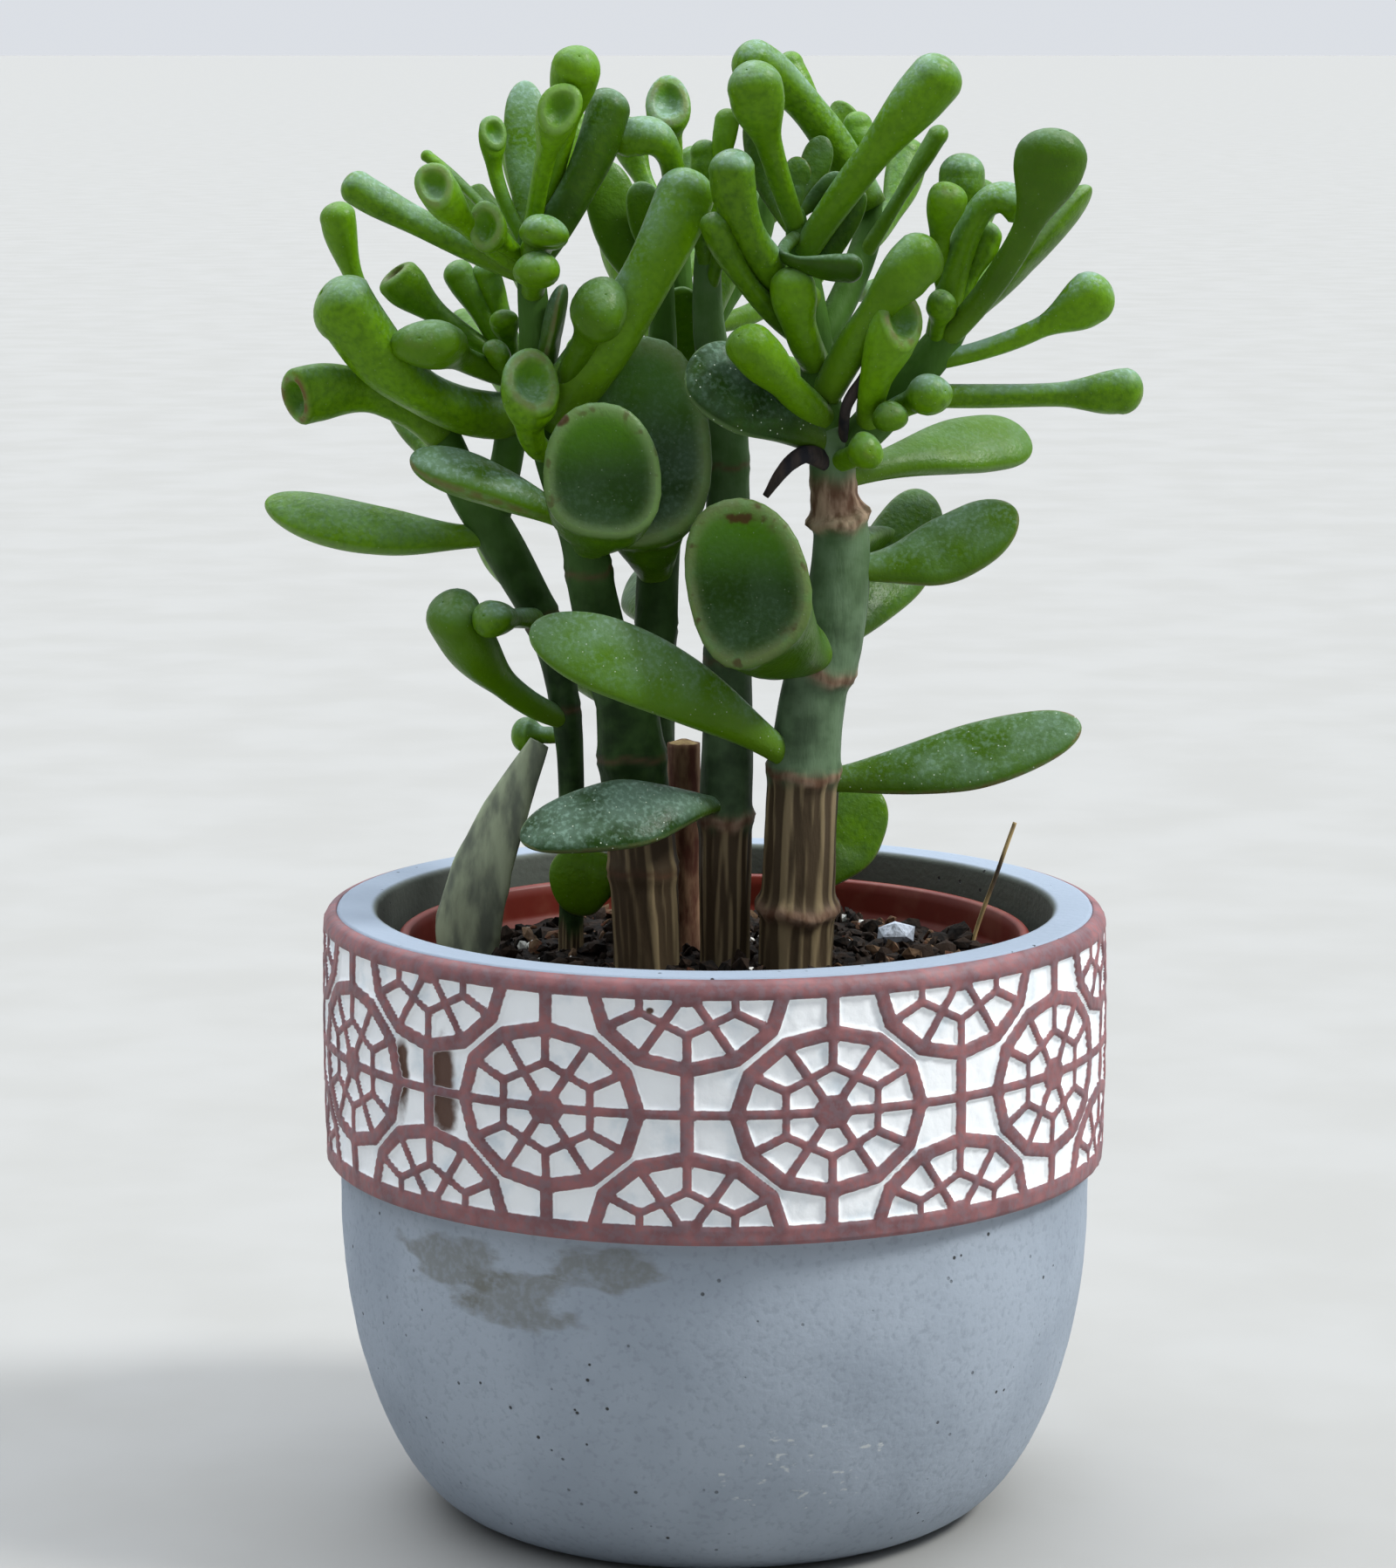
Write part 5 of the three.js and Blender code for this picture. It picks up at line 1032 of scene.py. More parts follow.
cachepot = {
    "height": 118,
    "rimInner": 65.4,
    "rimRound": 1.2,
    "bodyRadius": 72.8,
    "baseRadius": 47,
    "flankTop": 59,
    "flankPull": 30, # how low the flank keeps the body's width
    "footPull": 14, # how far the flank runs flat along the base
    "floor": 10,
    "wallFoot": 9, # the wall's thickness down on the flank
    "draft": 1, # how much the opening narrows from the rim to its middle
    "wobble": 0.16, # how far it is out of round
    "unevenness": 0.07,
    "around": 360,
    "cement": rgb(149, 160, 173),
    "cementPale": rgb(179, 190, 203),
    "cementDark": rgb(110, 119, 130),
    "rimColour": rgb(148, 161, 177),
    "rimSpan": (0.112, 0.1165), # metres up, between which the rim's colour starts
    # painted shade: the inner wall of the opening is given a dark colour
    "innerWallShade": rgb(94, 101, 94),
    "innerShadeSpan": (0.07, 0.08), # metres up, between which the painted shade on the inner wall starts
    "innerShadeEdge": (1.4, 0.1), # how far outside the opening it starts and is full
    "stain": rgb(106, 106, 96),
    "stains": [((-48, -55, 60), (13, 30, 6)), ((-36, -62, 56), (12, 30, 6)), ((-19, -69, 64), (13, 30, 4.5))],
    "stainEdge": 2.4, # how ragged a stain's edge is
    "pinhole": rgb(60, 62, 62),
    "scratch": rgb(205, 210, 210),
    "scratched": ((18, -70, 24), (30, 26, 16)),
    "clouds": 30, # the width of the cement's paler clouds
    "grit": 1.4, # and of its grit
    "pinholeGap": 4.5,
    "pinholeRadius": 0.42,
    "relief": 0.35,
    "roughness": 0.82,
    "specular": 0.3,
}

band = {
    "bottom": 69.3,
    "radius": 75.6,
    "swell": 0.4, # the middle of the band stands out this much more
    "border": 3.7,
    "depth": 0.8, # of the white cells
    "backing": 73.0,
    "repeats": 9,
    "firstWheel": 16.3, # degrees from the front, towards +X
    "columns": 110, # in each repeat
    "rows": 85,
    "barEdge": (-0.25, 0.3), # how far outside a bar the relief starts and ends to fall
    "unevenness": 0.1,
    "wobble": 0.12,
    "mauve": rgb(146, 96, 98),
    "mauveDark": rgb(116, 78, 82),
    "mauveGrey": rgb(116, 102, 110),
    "white": rgb(246, 250, 253),
    "whiteShade": rgb(214, 226, 234),
    "bare": rgb(84, 58, 46),
    "worn": [((-49.6, -57, 94.5), (4.2, 6, 11)), ((-58, -49.6, 95), (2.2, 4, 11))],
    "chip": ((-11.5, -74, 112.3), (0.9, 3, 0.7)),
    "brush": 7, # the width of the paint's brush marks
    "grains": 1.5, # and of its grains
    "shaky": 0.25, # how far the painted edges stray
    "relief": 0.2,
    "roughness": 0.55,
    "specular": 0.4,
}

wheel = {
    "halfWide": 19.2,
    "halfHigh": 15.9,
    "middle": 93.5,
    "upper": 116.2,
    "lower": 71.1,
    "ring": 2.7,
    "spoke": 1.7,
    "hexagon": 0.52, # of the wheel's size
    "hexagonBar": 1.5,
    "post": 2.5,
    "rail": 1.7,
    "hub": [3.6, 3.1],
}


def arc(centre, radius, start, end, count):
    # points on a circle between two angles in degrees
    angle = np.radians(np.linspace(start, end, count))
    return np.column_stack([centre[0] + radius * np.cos(angle), centre[1] + radius * np.sin(angle)])


def segment(start, end, count):
    # points on a straight line
    return np.linspace(start, end, count)


def lathe(profile, around, roughen=None):
    # turns a profile [radius, height] round the axis, from its first point near the axis to its last;
    # roughen(angle, height) is added to the radius
    theta = np.linspace(0, 2 * math.pi, around, endpoint=False)[None, :]
    radius, height = profile[:, :1], profile[:, 1:] + 0 * theta
    if roughen is not None:
        radius = radius + roughen(theta, profile[:, 1:])
    points = np.stack([radius * np.cos(theta), radius * np.sin(theta), height], axis=-1)[None]
    poles = [np.array([[0, 0, profile[k, 1]]]) for k in (0, -1)]
    return tubes(points, poles[0], poles[1], {})


def cachepotProfile():
    # the casting's skin: under the foot, up the flank, which is one cubic curve, behind the band, over
    # the rim and down inside to the floor
    look = cachepot
    t = np.linspace(0, 1, 34)[:, None]
    corners = [(look["baseRadius"], 0), (look["baseRadius"] + look["footPull"], 0),
               (look["bodyRadius"], look["flankPull"]), (look["bodyRadius"], look["flankTop"])]
    a, b, c, d = (np.array(p, float) for p in corners)
    flank = (1 - t) ** 3 * a + 3 * t * (1 - t) ** 2 * b + 3 * t**2 * (1 - t) * c + t**3 * d
    high, bend = look["height"], look["rimRound"]
    inner = flank[(flank[:, 1] > look["floor"] + look["wallFoot"]) & (flank[:, 1] < high / 3)][::-1]
    outerTop = band["backing"] + 0.3
    return np.concatenate([
        segment((4, 0), (look["baseRadius"] - 1, 0), 10), flank,
        segment((look["bodyRadius"], look["flankTop"] + 1.5), (look["bodyRadius"], band["bottom"] + 0.4), 6),
        segment((outerTop, band["bottom"] + 1), (outerTop, high - 0.8), 8),
        segment((outerTop - 0.4, high), (look["rimInner"] + bend, high), 12),
        arc((look["rimInner"] + bend, high - bend), bend, 90, 180, 6)[1:],
        segment((look["rimInner"] - 0.1, high - 4), (look["rimInner"] - look["draft"], high / 2), 8),
        inner - [look["wallFoot"], 0], arc((look["baseRadius"] - 4, look["floor"] + 4), 4, -10, -90, 5),
        segment((look["baseRadius"] - 8, look["floor"]), (3, look["floor"]), 8)])


def handmade(theta, height):
    # a casting isn't quite round: slow waves of a few tenths, and a fine unevenness
    slow = cachepot["wobble"] * ripple(60, theta, 2 * theta + height / 30)
    fine = fineNoise(theta * noiseCells / math.pi, height / 4 + 0 * theta, 61, 3)
    return slow + cachepot["unevenness"] * fine


def toSegment(x, z, start, end):
    # distance from each point to the stretch between two points
    along = np.array(end, float) - start
    t = np.clip(((x - start[0]) * along[0] + (z - start[1]) * along[1]) / (along @ along), 0, 1)
    return np.hypot(x - start[0] - t * along[0], z - start[1] - t * along[1])


def wheelDepth(x, z):
    # how far inside one of a wheel's bars each point is: the largest of half a bar's width less the
    # distance to its middle line
    def corner(degrees, share):
        turn = math.radians(degrees)
        return share * np.array([wheel["halfWide"] * math.cos(turn), wheel["halfHigh"] * math.sin(turn)])

    inset = 1 - wheel["ring"] / 2 / wheel["halfHigh"]
    bars = []
    for k in range(12):
        bars.append((corner(30 * k, inset), corner(30 * k + 30, inset), wheel["ring"]))
        hexagonShare = wheel["hexagon"] * (1 if k % 2 else math.cos(math.pi / 6))
        bars.append((corner(30 * k, hexagonShare), corner(30 * k, inset), wheel["spoke"]))
    for k in range(6):
        start, end = (corner(60 * k + side, wheel["hexagon"]) for side in (-30, 30))
        bars.append((start, end, wheel["hexagonBar"]))
        bars.append((corner(0, 0), corner(60 * k, wheel["hexagon"] * math.cos(math.pi / 6)), wheel["spoke"]))
    hub = (1 - np.hypot(x / wheel["hub"][0], z / wheel["hub"][1])) * wheel["hub"][1]
    return np.maximum.reduce([hub] + [width / 2 - toSegment(x, z, a, b) for a, b, width in bars])


def latticeDepths(x, z):
    # two depths, for the full wheel with its posts, rail and borders, and for the half wheels
    half = math.pi * band["radius"] / band["repeats"]
    low, high = band["bottom"] + band["border"], cachepot["height"] - band["border"]
    bars = [wheelDepth(x, z - wheel["middle"]), low - z, z - high]
    upper, lower = wheel["upper"] - wheel["halfHigh"], wheel["lower"] + wheel["halfHigh"]
    under, over = wheel["middle"] - wheel["halfHigh"], wheel["middle"] + wheel["halfHigh"]
    for at, start, end in [(0, 70, under), (0, over, 117), (half, lower, upper), (-half, lower, upper)]:
        bars.append(wheel["post"] / 2 - toSegment(x, z, (at, start), (at, end)))
    for sign in (-1, 1):
        start, end = ((sign * reach, wheel["middle"]) for reach in (wheel["halfWide"] - 1, half))
        bars.append(wheel["rail"] / 2 - toSegment(x, z, start, end))
    rows = (wheel["upper"], wheel["lower"])
    halves = [wheelDepth(x - side, z - height) for side in (-half, half) for height in rows]
    return np.maximum.reduce(bars), np.maximum.reduce(halves)


def bandPart():
    # a closed ring: its outer face carries the lattice as relief, its inner face sits on the casting
    look = band
    high = cachepot["height"]
    around = look["repeats"] * look["columns"]
    theta = np.linspace(0, 2 * math.pi, around, endpoint=False)[None, :]
    pitch = 2 * math.pi * look["radius"] / look["repeats"]
    fromWheel = theta * look["radius"] - math.radians(look["firstWheel"] - 90) * look["radius"]
    x = (fromWheel + pitch / 2) % pitch - pitch / 2
    z = np.linspace(look["bottom"] + 0.5, high - 2.2, look["rows"])[:, None]
    full, halves = latticeDepths(x + 0 * z, z + 0 * x)
    sunk = smooth(-np.maximum(full, halves), *look["barEdge"])
    middle = (look["bottom"] + high) / 2
    bow = look["swell"] * (1 - ((z - middle) / (high - middle)) ** 2)
    uneven = look["unevenness"] * fineNoise(theta * 2 * noiseCells / math.pi, z / 3, 70, 3)
    uneven = uneven + look["wobble"] * ripple(71, theta, 3 * theta + z / 14)
    radius = look["radius"] + bow - look["depth"] * sunk + uneven
    topArc = arc((look["radius"] - 2.2, high - 2.2), 2.0, 20, 84, 6)
    bottomArc = arc((look["radius"] - 0.7, look["bottom"] + 0.6), 0.6, -80, -15, 4)
    outer = np.stack([radius, z + 0 * theta], axis=-1)
    back, low = look["backing"], look["bottom"]
    inner = np.array([[0.2, high - 0.25], [0, high - 1.5], [0, low + 1.0], [0.2, low + 0.1]]) + [back, 0]

    def hoop(profile):
        return np.broadcast_to(profile[:, None], (len(profile), around, 2))

    loop = np.concatenate([hoop(bottomArc), outer, hoop(topArc), hoop(inner)])
    points = np.stack([loop[..., 0] * np.cos(theta), loop[..., 0] * np.sin(theta), loop[..., 1]], axis=-1)
    rings = len(loop)

    def painted(depth):
        # the borders and the back, outside the lattice's rows, count as deep inside a bar
        whole = np.full((rings, around), 2.0)
        whole[len(bottomArc):len(bottomArc) + len(z)] = depth
        return whole.ravel()

    quads = ringQuads(rings, around)
    seam = ringQuads(2, around)
    seam = np.where(seam >= around, seam - around, seam + (rings - 1) * around)
    values = {"wheelBar": painted(full), "halfBar": painted(halves)}
    quads = np.concatenate([quads, seam])
    noTris = np.zeros((0, 3), int)
    return {"verts": points.reshape(-1, 3), "quads": quads, "tris": noTris, "values": values, "slot": 0}


def cementMaterial():
    look = cachepot
    material, tree, shader, place = newMaterial("cast cement", look["roughness"], look["specular"])
    cloud = noise(tree, place, look["clouds"], 5)
    grit = noise(tree, place, look["grit"], 5)
    colour = mix(tree, step(tree, cloud, 0.35, 0.65, 0.4), look["cement"], look["cementPale"])
    colour = mix(tree, step(tree, grit, 0.5, 0.3, 0.25), colour, look["cementDark"])
    apart = add(tree, "SeparateXYZ", {0: place}).outputs
    colour = mix(tree, step(tree, apart["Z"], *look["rimSpan"]), colour, look["rimColour"])
    # painted shade down the inner wall of the opening, below the rim
    across = maths(tree, "SQRT", plus(tree, *(maths(tree, "POWER", apart[k], 2.0) for k in "XY")))
    insideShade = step(tree, across, *((look["rimInner"] + out) * mm for out in look["innerShadeEdge"]))
    insideShade = times(tree, insideShade, step(tree, apart["Z"], *look["innerShadeSpan"]))
    colour = mix(tree, insideShade, colour, look["innerWallShade"])
    ragged = noise(tree, place, 5, 6, stretch=(0.5, 0.5, 1.2))
    for centre, size in look["stains"]:
        stained = patch(tree, place, centre, size, ragged, look["stainEdge"])
        stained = times(tree, stained, step(tree, grit, 0.1, 0.6, 0.62))
        colour = mix(tree, stained, colour, look["stain"])
    fleck = noise(tree, place, 1.6, 5, stretch=(0.5, 1, 1))
    fleck = times(tree, fleck, patch(tree, place, *look["scratched"]))
    colour = mix(tree, step(tree, fleck, 0.6, 0.68, 0.8), colour, look["scratch"])
    holes = specks(tree, place, look["pinholeGap"], look["pinholeRadius"])
    few = times(tree, holes, step(tree, noise(tree, place, 14, 2), 0.4, 0.6))
    colour = mix(tree, few, colour, look["pinhole"])
    paint(tree, shader, colour)
    relief = maths(tree, "SUBTRACT", times(tree, grit, 0.5), few)
    bumped(tree, shader, relief, look["relief"], 0.8)
    return material


def bandMaterial():
    look = band
    material, tree, shader, place = newMaterial("painted lattice", look["roughness"], look["specular"])
    bar = maths(tree, "MAXIMUM", given(tree, "wheelBar"), given(tree, "halfBar"))
    stray = maths(tree, "SUBTRACT", noise(tree, place, 1.2, 3), 0.5)
    bar = plus(tree, bar, times(tree, stray, look["shaky"]))
    brush = noise(tree, place, look["brush"], 5)
    fine = noise(tree, place, look["grains"], 4)
    mauve = mix(tree, step(tree, brush, 0.35, 0.65), look["mauve"], look["mauveDark"])
    mauve = mix(tree, step(tree, fine, 0.42, 0.62, 0.5), mauve, look["mauveGrey"])
    white = mix(tree, step(tree, brush, 0.5, 0.8), look["white"], look["whiteShade"])
    colour = mix(tree, step(tree, bar, -0.08, 0.1), white, mauve)
    for centre, size in look["worn"]:
        bare = patch(tree, place, centre, size, brush)
        colour = mix(tree, times(tree, bare, step(tree, bar, 0.05, -0.1)), colour, look["bare"])
    chip = patch(tree, place, *look["chip"])
    colour = mix(tree, chip, colour, look["bare"])
    paint(tree, shader, colour)
    relief = plus(tree, fine, times(tree, brush, 0.6))
    bumped(tree, shader, relief, look["relief"], 0.6)
    return material


def addCachepot():
    # the casting and its painted band both stand for the one CAD node
    casting = lathe(cachepotProfile(), cachepot["around"], roughen=handmade)
    casting = makePiece("cachepot_casting", [casting], [cementMaterial()])
    painted = makePiece("cachepot_lattice", [bandPart()], [bandMaterial()])
    for piece in (casting, painted):
        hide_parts("cachepot")


addCachepot()
print("cachepot cast and painted")


nurseryPot = {
    "rim": 61.3,
    "rimTop": 112.7,
    "rimHeight": 8,
    "rimStep": 3.2,
    "baseRadius": 42,
    "footRing": 6,
    "footRise": 2,
    "wall": 1.2,
    "around": 180,
    "plastic": rgb(110, 30, 14),
    "plasticDusty": rgb(128, 66, 50),
    "dust": 9, # the width of its blotches
    "relief": 0.2,
    "roughness": 0.45,
    "specular": 0.45,
}

soil = {
    "top": 107.2,
    "mound": 1.4,
    "rough": 1.3,
    "rings": 84,
    "around": 220,
    "chips": {"seed": 81, "count": 1500, "sizes": (0.5, 3.2), "flatness": (0.25, 0.6),
              "kinds": [0.15, 0.35, 0.55, 0.75], "shares": [0.55, 0.27, 0.1, 0.08]},
    "perlite": {"seed": 82, "count": 90, "sizes": (0.6, 1.8), "flatness": (0.6, 0.9),
                "kinds": [0.95], "shares": [1]},
    "fibres": 70,
    "fibreKinds": [0.35, 0.55],
    "fibreReach": 50, # how far from the middle they lie
    "pebble": [35.7, 14.7, 108.8],
    "pebbleSize": [4.4, 3.4, 2.8],
    "pebbleKind": 1.2,
    "dark": rgb(16, 12, 9),
    "brown": rgb(40, 29, 21),
    "tan": rgb(98, 77, 58),
    "rust": rgb(86, 46, 30),
    "white": rgb(225, 226, 222),
    "blue": rgb(190, 200, 214),
    "tones": [(0.24, "brown"), (0.42, "bark"), (0.62, "tan"), (0.84, "white"), (1.1, "blue")], # by kind
    "grain": 2.2,
    "pores": 0.8,
    "relief": 0.8,
    "roughness": 0.9,
    "specular": 0.2,
}


def addNurseryPot():
    # a thin lathed shell with a foot ring and a stepped rim
    look = nurseryPot
    floor = cachepot["floor"] + 0.3
    wall, rim, top = look["wall"], look["rim"], look["rimTop"]
    underRim, shoulder = top - look["rimHeight"], rim - look["rimStep"]
    foot = look["baseRadius"] - look["footRing"]
    raised = floor + look["footRise"]
    profile = np.concatenate([
        segment((2, raised), (foot - look["footRise"], raised), 6),
        segment((foot, floor), (look["baseRadius"] - 0.5, floor), 4),
        segment((look["baseRadius"], floor + 0.6), (shoulder - 0.2, underRim - 1), 30),
        segment((shoulder + 0.4, underRim - 0.3), (rim - wall, underRim), 4),
        segment((rim - 0.6, underRim + 0.5), (rim - 0.3, top - wall), 8),
        arc((rim - wall, top - wall), wall, 10, 150, 8),
        segment((rim - 2 * wall, top - 2 * wall), (rim - 2.2 * wall, underRim + wall), 6),
        segment((shoulder - wall, underRim - 0.6), (look["baseRadius"] - wall, raised + wall), 24),
        segment((look["baseRadius"] - 3, raised + wall), (2, raised + wall), 6)])
    material, tree, shader, place = newMaterial("nursery plastic", look["roughness"], look["specular"])
    dust = noise(tree, place, look["dust"], 5)
    paint(tree, shader, mix(tree, step(tree, dust, 0.45, 0.7, 0.7), look["plastic"], look["plasticDusty"]))
    bumped(tree, shader, dust, look["relief"], 0.5)
    piece = makePiece("nursery_pot_shell", [lathe(profile, look["around"])], [material])
    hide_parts("nursery_pot")


def soilHeight(x, y):
    # the soil's top: a mound that falls as the distance squared, and noise in halving sizes
    away = np.hypot(x, y) / (nurseryPot["rim"] - nurseryPot["rimStep"])
    mound = soil["top"] - soil["mound"] * away**2
    return mound + soil["rough"] * fineNoise(x / 7, y / 7, 80, 4)


def soilPart():
    # one closed body: the foot and the wall inside the nursery pot, and the rough top
    look = soil
    pot = nurseryPot
    low = cachepot["floor"] + pot["footRise"] + pot["wall"] + 0.6
    edge = pot["rim"] - pot["rimStep"] - pot["wall"] - 0.3
    inner = pot["baseRadius"] - pot["wall"] - 0.3
    theta = np.linspace(0, 2 * math.pi, look["around"], endpoint=False)[None, :]
    wall = segment((inner, low), (edge - 0.1, pot["rimTop"] - pot["rimHeight"] - 4), 12)
    radius = np.linspace(edge, 0.8, look["rings"])[:, None]
    x, y = radius * np.cos(theta), radius * np.sin(theta)
    top = np.stack([x, y, soilHeight(x, y)], axis=-1)
    foot = segment((3, low), (inner - 1, low), 5)
    sides = np.concatenate([foot, wall])
    across, high = sides[:, :1], sides[:, 1:] + 0 * theta
    below = np.stack([across * np.cos(theta), across * np.sin(theta), high], axis=-1)
    points = np.concatenate([below, top])[None]
    centre = np.array([[0, 0, soilHeight(np.zeros(1), np.zeros(1))[0]]])
    values = {"kind": np.full(points.shape[:3], 0.1)}
    return tubes(points, np.array([[0, 0, low]]), centre, values)


def tumble(rng, count):
    # random turns, from random unit quaternions
    a, b, c, d = unit(rng.normal(size=(count, 4))).T
    return np.stack([
        np.stack([1 - 2 * (c * c + d * d), 2 * (b * c - a * d), 2 * (b * d + a * c)], axis=-1),
        np.stack([2 * (b * c + a * d), 1 - 2 * (b * b + d * d), 2 * (c * d - a * b)], axis=-1),
        np.stack([2 * (b * d - a * c), 2 * (c * d + a * b), 1 - 2 * (b * b + c * c)], axis=-1)], axis=1)


def icosahedron():
    # corners at the golden ratio, and the 20 triples of them that lie nearest each other
    g = (1 + 5**0.5) / 2
    corners = np.array([(0, a, b * g) for a in (-1, 1) for b in (-1, 1)])
    corners = np.concatenate([corners, np.roll(corners, 1, axis=1), np.roll(corners, 2, axis=1)])
    near = np.linalg.norm(corners[:, None] - corners[None], axis=-1) < 2.01
    faces = [(i, j, k) for i in range(12) for j in range(i + 1, 12) for k in range(j + 1, 12)
             if near[i, j] and near[j, k] and near[i, k]]
    faces = np.array(faces)
    a, b, c = (corners[faces[:, k]] for k in range(3))
    inward = (np.cross(b - a, c - a) * a).sum(-1) < 0
    faces[inward] = faces[inward][:, ::-1]
    return unit(corners), faces


def clearOfStems(x, y, room):
    # which points keep that much room to every stem's foot
    feet = [list(plant["branches"].values())[0]["rows"][1] for plant in plants.values()]
    feet = np.array(feet + [[*deadBits["stub"][0], 3]], float)
    away = np.hypot(x[:, None] - feet[:, 0], y[:, None] - feet[:, 1]) - feet[:, 3]
    return (away > room[:, None]).all(axis=1)


def crumbs(seed, count, sizes, flatness, kinds, shares):
    # small angular bits lying on the soil, each a tumbled, squashed icosahedron with bent corners
    rng = np.random.default_rng(seed)
    corners, faces = icosahedron()
    reach = nurseryPot["rim"] - nurseryPot["rimStep"] - 4
    away, turn = reach * np.sqrt(rng.uniform(0, 1, count)), rng.uniform(0, 2 * math.pi, count)
    x, y = away * np.cos(turn), away * np.sin(turn)
    size = sizes[0] + (sizes[1] - sizes[0]) * rng.uniform(0, 1, count) ** 2.5
    kind = rng.choice(kinds, count, p=shares) + rng.uniform(-0.03, 0.03, count)
    stretch = np.column_stack([np.ones(count), rng.uniform(0.5, 0.9, count), rng.uniform(*flatness, count)])
    bits = corners[None] * rng.uniform(0.75, 1.2, (count, 12, 1)) * (size[:, None] * stretch)[:, None]
    bits = np.einsum("nij,nkj->nki", tumble(rng, count), bits)
    bits = bits + np.column_stack([x, y, soilHeight(x, y) + 0.25 * size])[:, None]
    keep = clearOfStems(x, y, size)
    return solids(bits[keep], faces, {"kind": kind[keep]})


def fibreParts():
    # thin bent threads lying on the soil
    rng = np.random.default_rng(91)
    parts = []
    for k in range(soil["fibres"]):
        away = soil["fibreReach"] * math.sqrt(rng.uniform())
        turn, heading = rng.uniform(0, 6.3), rng.uniform(0, 6.3)
        start = np.array([away * math.cos(turn), away * math.sin(turn)])
        reach = rng.uniform(3, 9)
        bend = heading + rng.uniform(-0.8, 0.8)
        middle = start + 0.5 * reach * np.array([math.cos(heading), math.sin(heading)])
        end = middle + 0.5 * reach * np.array([math.cos(bend), math.sin(bend)])
        flat = np.array([start, middle, end])
        if not clearOfStems(flat[:, 0], flat[:, 1], np.full(3, 0.8)).all():
            continue
        high = soilHeight(flat[:, 0], flat[:, 1]) + [0.3, rng.uniform(0.6, 2.2), 0.4]
        radius = [rng.uniform(0.15, 0.35)] * 2
        thread = sweep(np.column_stack([flat, high]).tolist(), radius, radius, [0.3, 0.2, 1], 10, 6, 92 + k)
        thread["values"] = {"kind": np.full(len(thread["verts"]), rng.choice(soil["fibreKinds"]))}
        parts.append(thread)
    return parts


def soilMaterial():
    look = soil
    material, tree, shader, place = newMaterial("potting soil", look["roughness"], look["specular"])
    kind = given(tree, "kind")
    grain = noise(tree, place, look["grain"], 5)
    colour = mix(tree, step(tree, grain, 0.4, 0.65), look["dark"], look["brown"])
    bark = mix(tree, step(tree, grain, 0.3, 0.6), look["rust"], look["tan"])
    for least, tone in look["tones"]:
        toneColour = bark if tone == "bark" else look[tone]
        colour = mix(tree, step(tree, kind, least, least + 0.04), colour, toneColour)
    pores = step(tree, noise(tree, place, look["pores"], 3), 0.5, 0.75, 0.5)
    paint(tree, shader, mix(tree, pores, colour, look["dark"]))
    bumped(tree, shader, grain, look["relief"], 0.8)
    return material


def addSoil():
    look = soil
    corners, faces = icosahedron()
    rng = np.random.default_rng(95)
    pebble = corners[None] * rng.uniform(0.85, 1.1, (1, 12, 1)) * look["pebbleSize"] + look["pebble"]
    parts = [
        soilPart(),
        crumbs(**look["chips"]),
        crumbs(**look["perlite"]),
        *fibreParts(),
        solids(pebble, faces, {"kind": np.array([look["pebbleKind"]])}),
    ]
    piece = makePiece("soil_surface", parts, [soilMaterial()], smooth=False)
    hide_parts("soil")


addNurseryPot()
addSoil()
print("potted")


studio = {
    "floorRadius": 300, # metres
    "floorSides": 96,
    "floor": rgb(156, 156, 153),
    "floorClouds": 60, # the width of its faint clouds
    "floorRoughness": 0.7,
    "world": rgb(228, 232, 238),
    "skyBands": [(0.0, 0.92), (0.03, 0.92), (0.1, 0.6), (0.5, 0.75), (0.7, 2.8), (1.0, 3.4)], # height, light
    "nearSide": 0.42, # the share of its light that the sky in front keeps
    "cameraPlace": (0, -862.7, 281.0),
    "cameraAim": (-3.2, 0, 141.2),
    "lens": 103.83, # for a sensor 36 mm high
    "lamps": {
        "key": {"place": (640, -120, 860), "spread": 14, "power": 2.5, "colour": (1.0, 0.99, 0.96)},
        "top": {"place": (-260, 340, 900), "spread": 40, "power": 0.5, "colour": (0.96, 0.98, 1.0)},
    },
    "lit": (0, 0, 145), # the place that the lamps look at
}


def aimed(thing, place, aim):
    # sets a light or camera at a place, looking at another, both in millimetres
    thing.location = [value * mm for value in place]
    gaze = np.array(aim, float) - np.array(place, float)
    tilt = math.atan2(math.hypot(gaze[0], gaze[1]), -gaze[2])
    thing.rotation_euler = (tilt, 0, math.atan2(-gaze[0], gaze[1]))


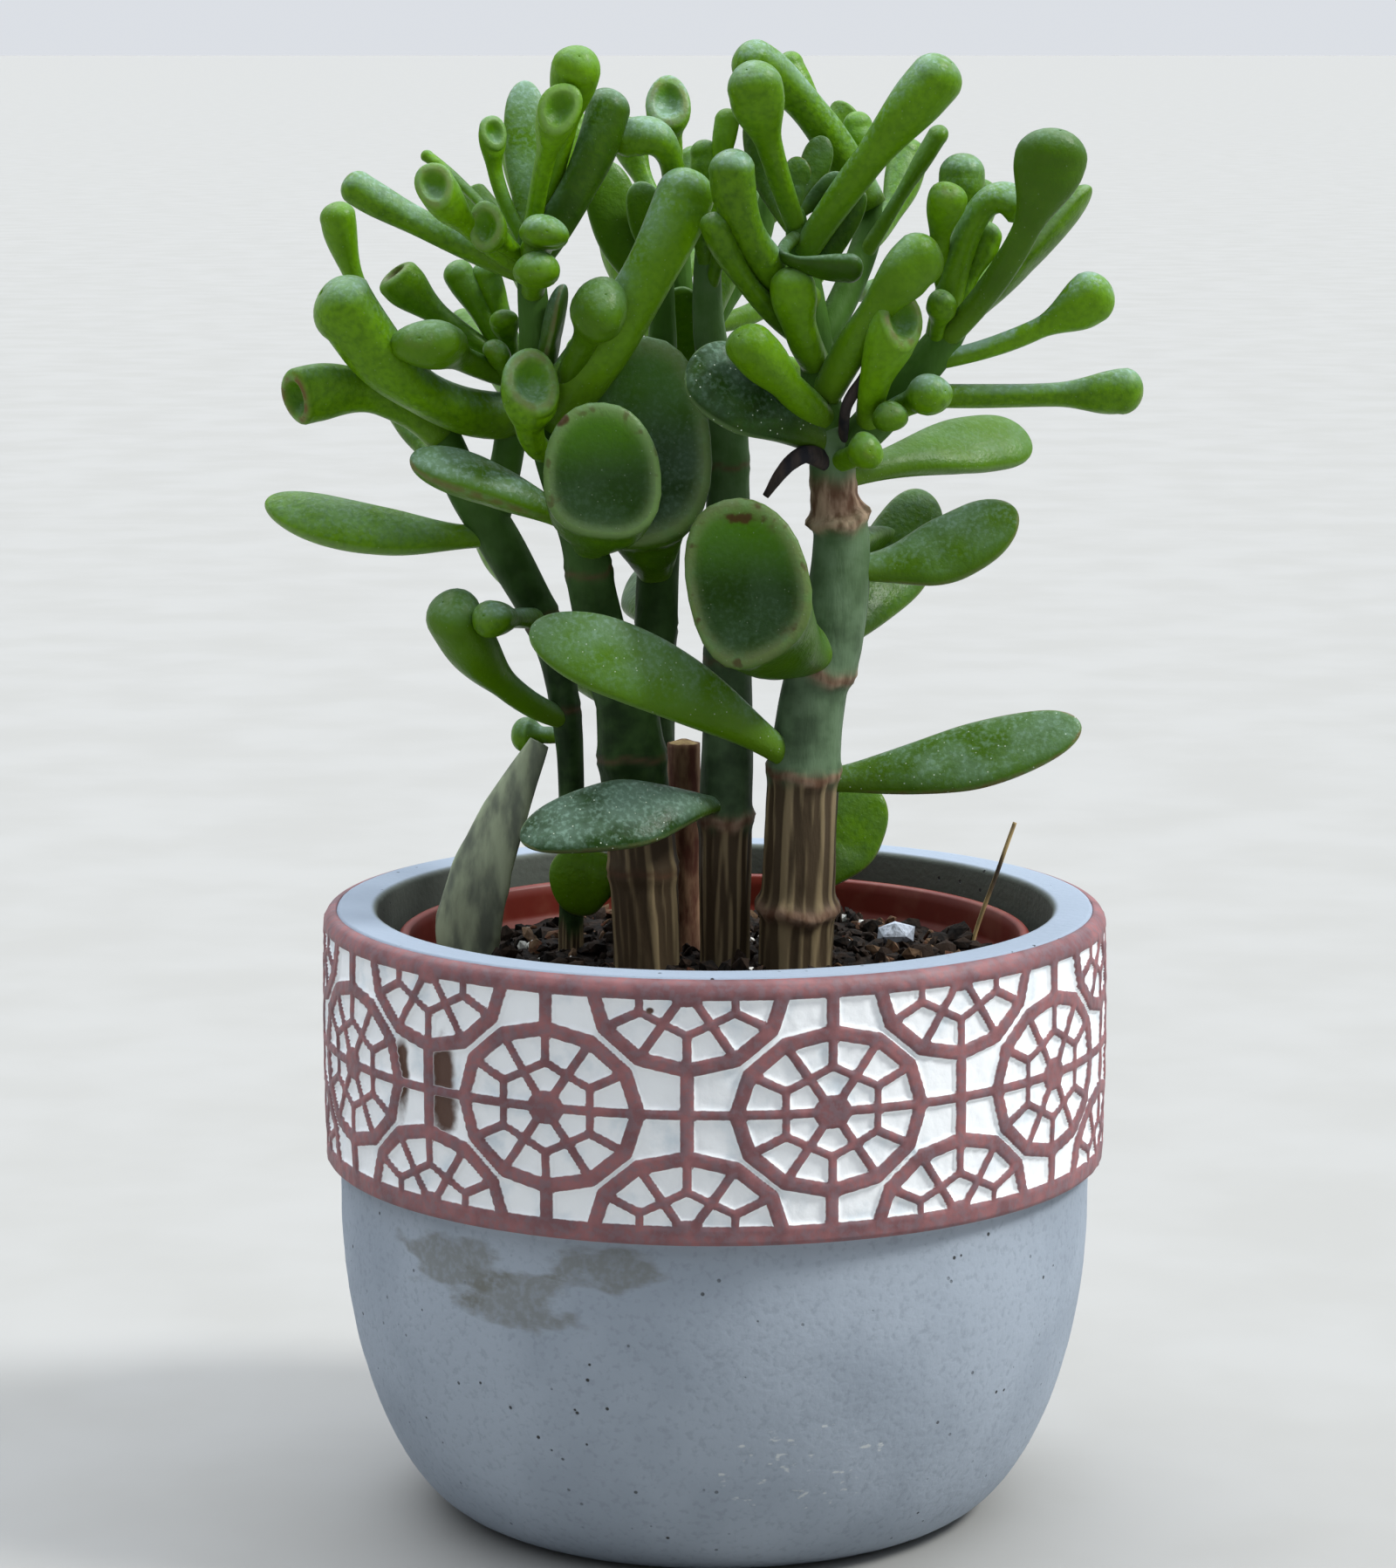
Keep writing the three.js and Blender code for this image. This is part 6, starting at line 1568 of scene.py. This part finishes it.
def addStudio():
    # a pale floor, a sky whose light changes with height, two soft lamps and the camera
    look = studio
    scene = bpy.context.scene
    sides = look["floorSides"]
    theta = np.linspace(0, 2 * math.pi, sides, endpoint=False)
    disc = bpy.data.meshes.new("floor")
    rim = np.column_stack([np.cos(theta), np.sin(theta), 0 * theta]) * look["floorRadius"]
    disc.from_pydata(rim.tolist(), [], [list(range(sides))])
    floor = bpy.data.objects.new("floor", disc)
    scene.collection.objects.link(floor)
    material, tree, shader, place = newMaterial("floor", look["floorRoughness"], 0.5)
    clouds = step(tree, noise(tree, place, look["floorClouds"], 3), 0.3, 0.7, 0.05)
    paint(tree, shader, mix(tree, clouds, look["floor"], look["world"]))
    disc.materials.append(material)
    world = bpy.data.worlds.new("studio")
    scene.world = world
    world.use_nodes = True
    tree = world.node_tree
    backdrop = tree.nodes["Background"]
    backdrop.inputs["Color"].default_value = look["world"]
    toSky = add(tree, "SeparateXYZ", {0: add(tree, "TexCoord").outputs["Generated"]}).outputs
    strength = look["skyBands"][0][1]
    for (low, before), (high, after) in zip(look["skyBands"], look["skyBands"][1:]):
        strength = plus(tree, strength, step(tree, toSky["Z"], low, high, after - before))
    share = plus(tree, look["nearSide"], step(tree, toSky["Y"], -0.5, 0.2, 1 - look["nearSide"]))
    tree.links.new(times(tree, strength, share), backdrop.inputs["Strength"])
    for name, spec in look["lamps"].items():
        lamp = bpy.data.lights.new(name, "SUN")
        lamp.angle = math.radians(spec["spread"])
        lamp.energy = spec["power"]
        lamp.color = spec["colour"]
        light = bpy.data.objects.new(name, lamp)
        scene.collection.objects.link(light)
        aimed(light, spec["place"], look["lit"])
    lens = bpy.data.cameras.new("camera")
    lens.sensor_fit = "VERTICAL"
    lens.sensor_height = 36
    lens.lens = look["lens"]
    lens.clip_end = 2 * look["floorRadius"]
    camera = bpy.data.objects.new("camera", lens)
    scene.collection.objects.link(camera)
    aimed(camera, look["cameraPlace"], look["cameraAim"])
    scene.camera = camera
    scene.view_settings.view_transform = "Standard"


addStudio()
print("studio set")
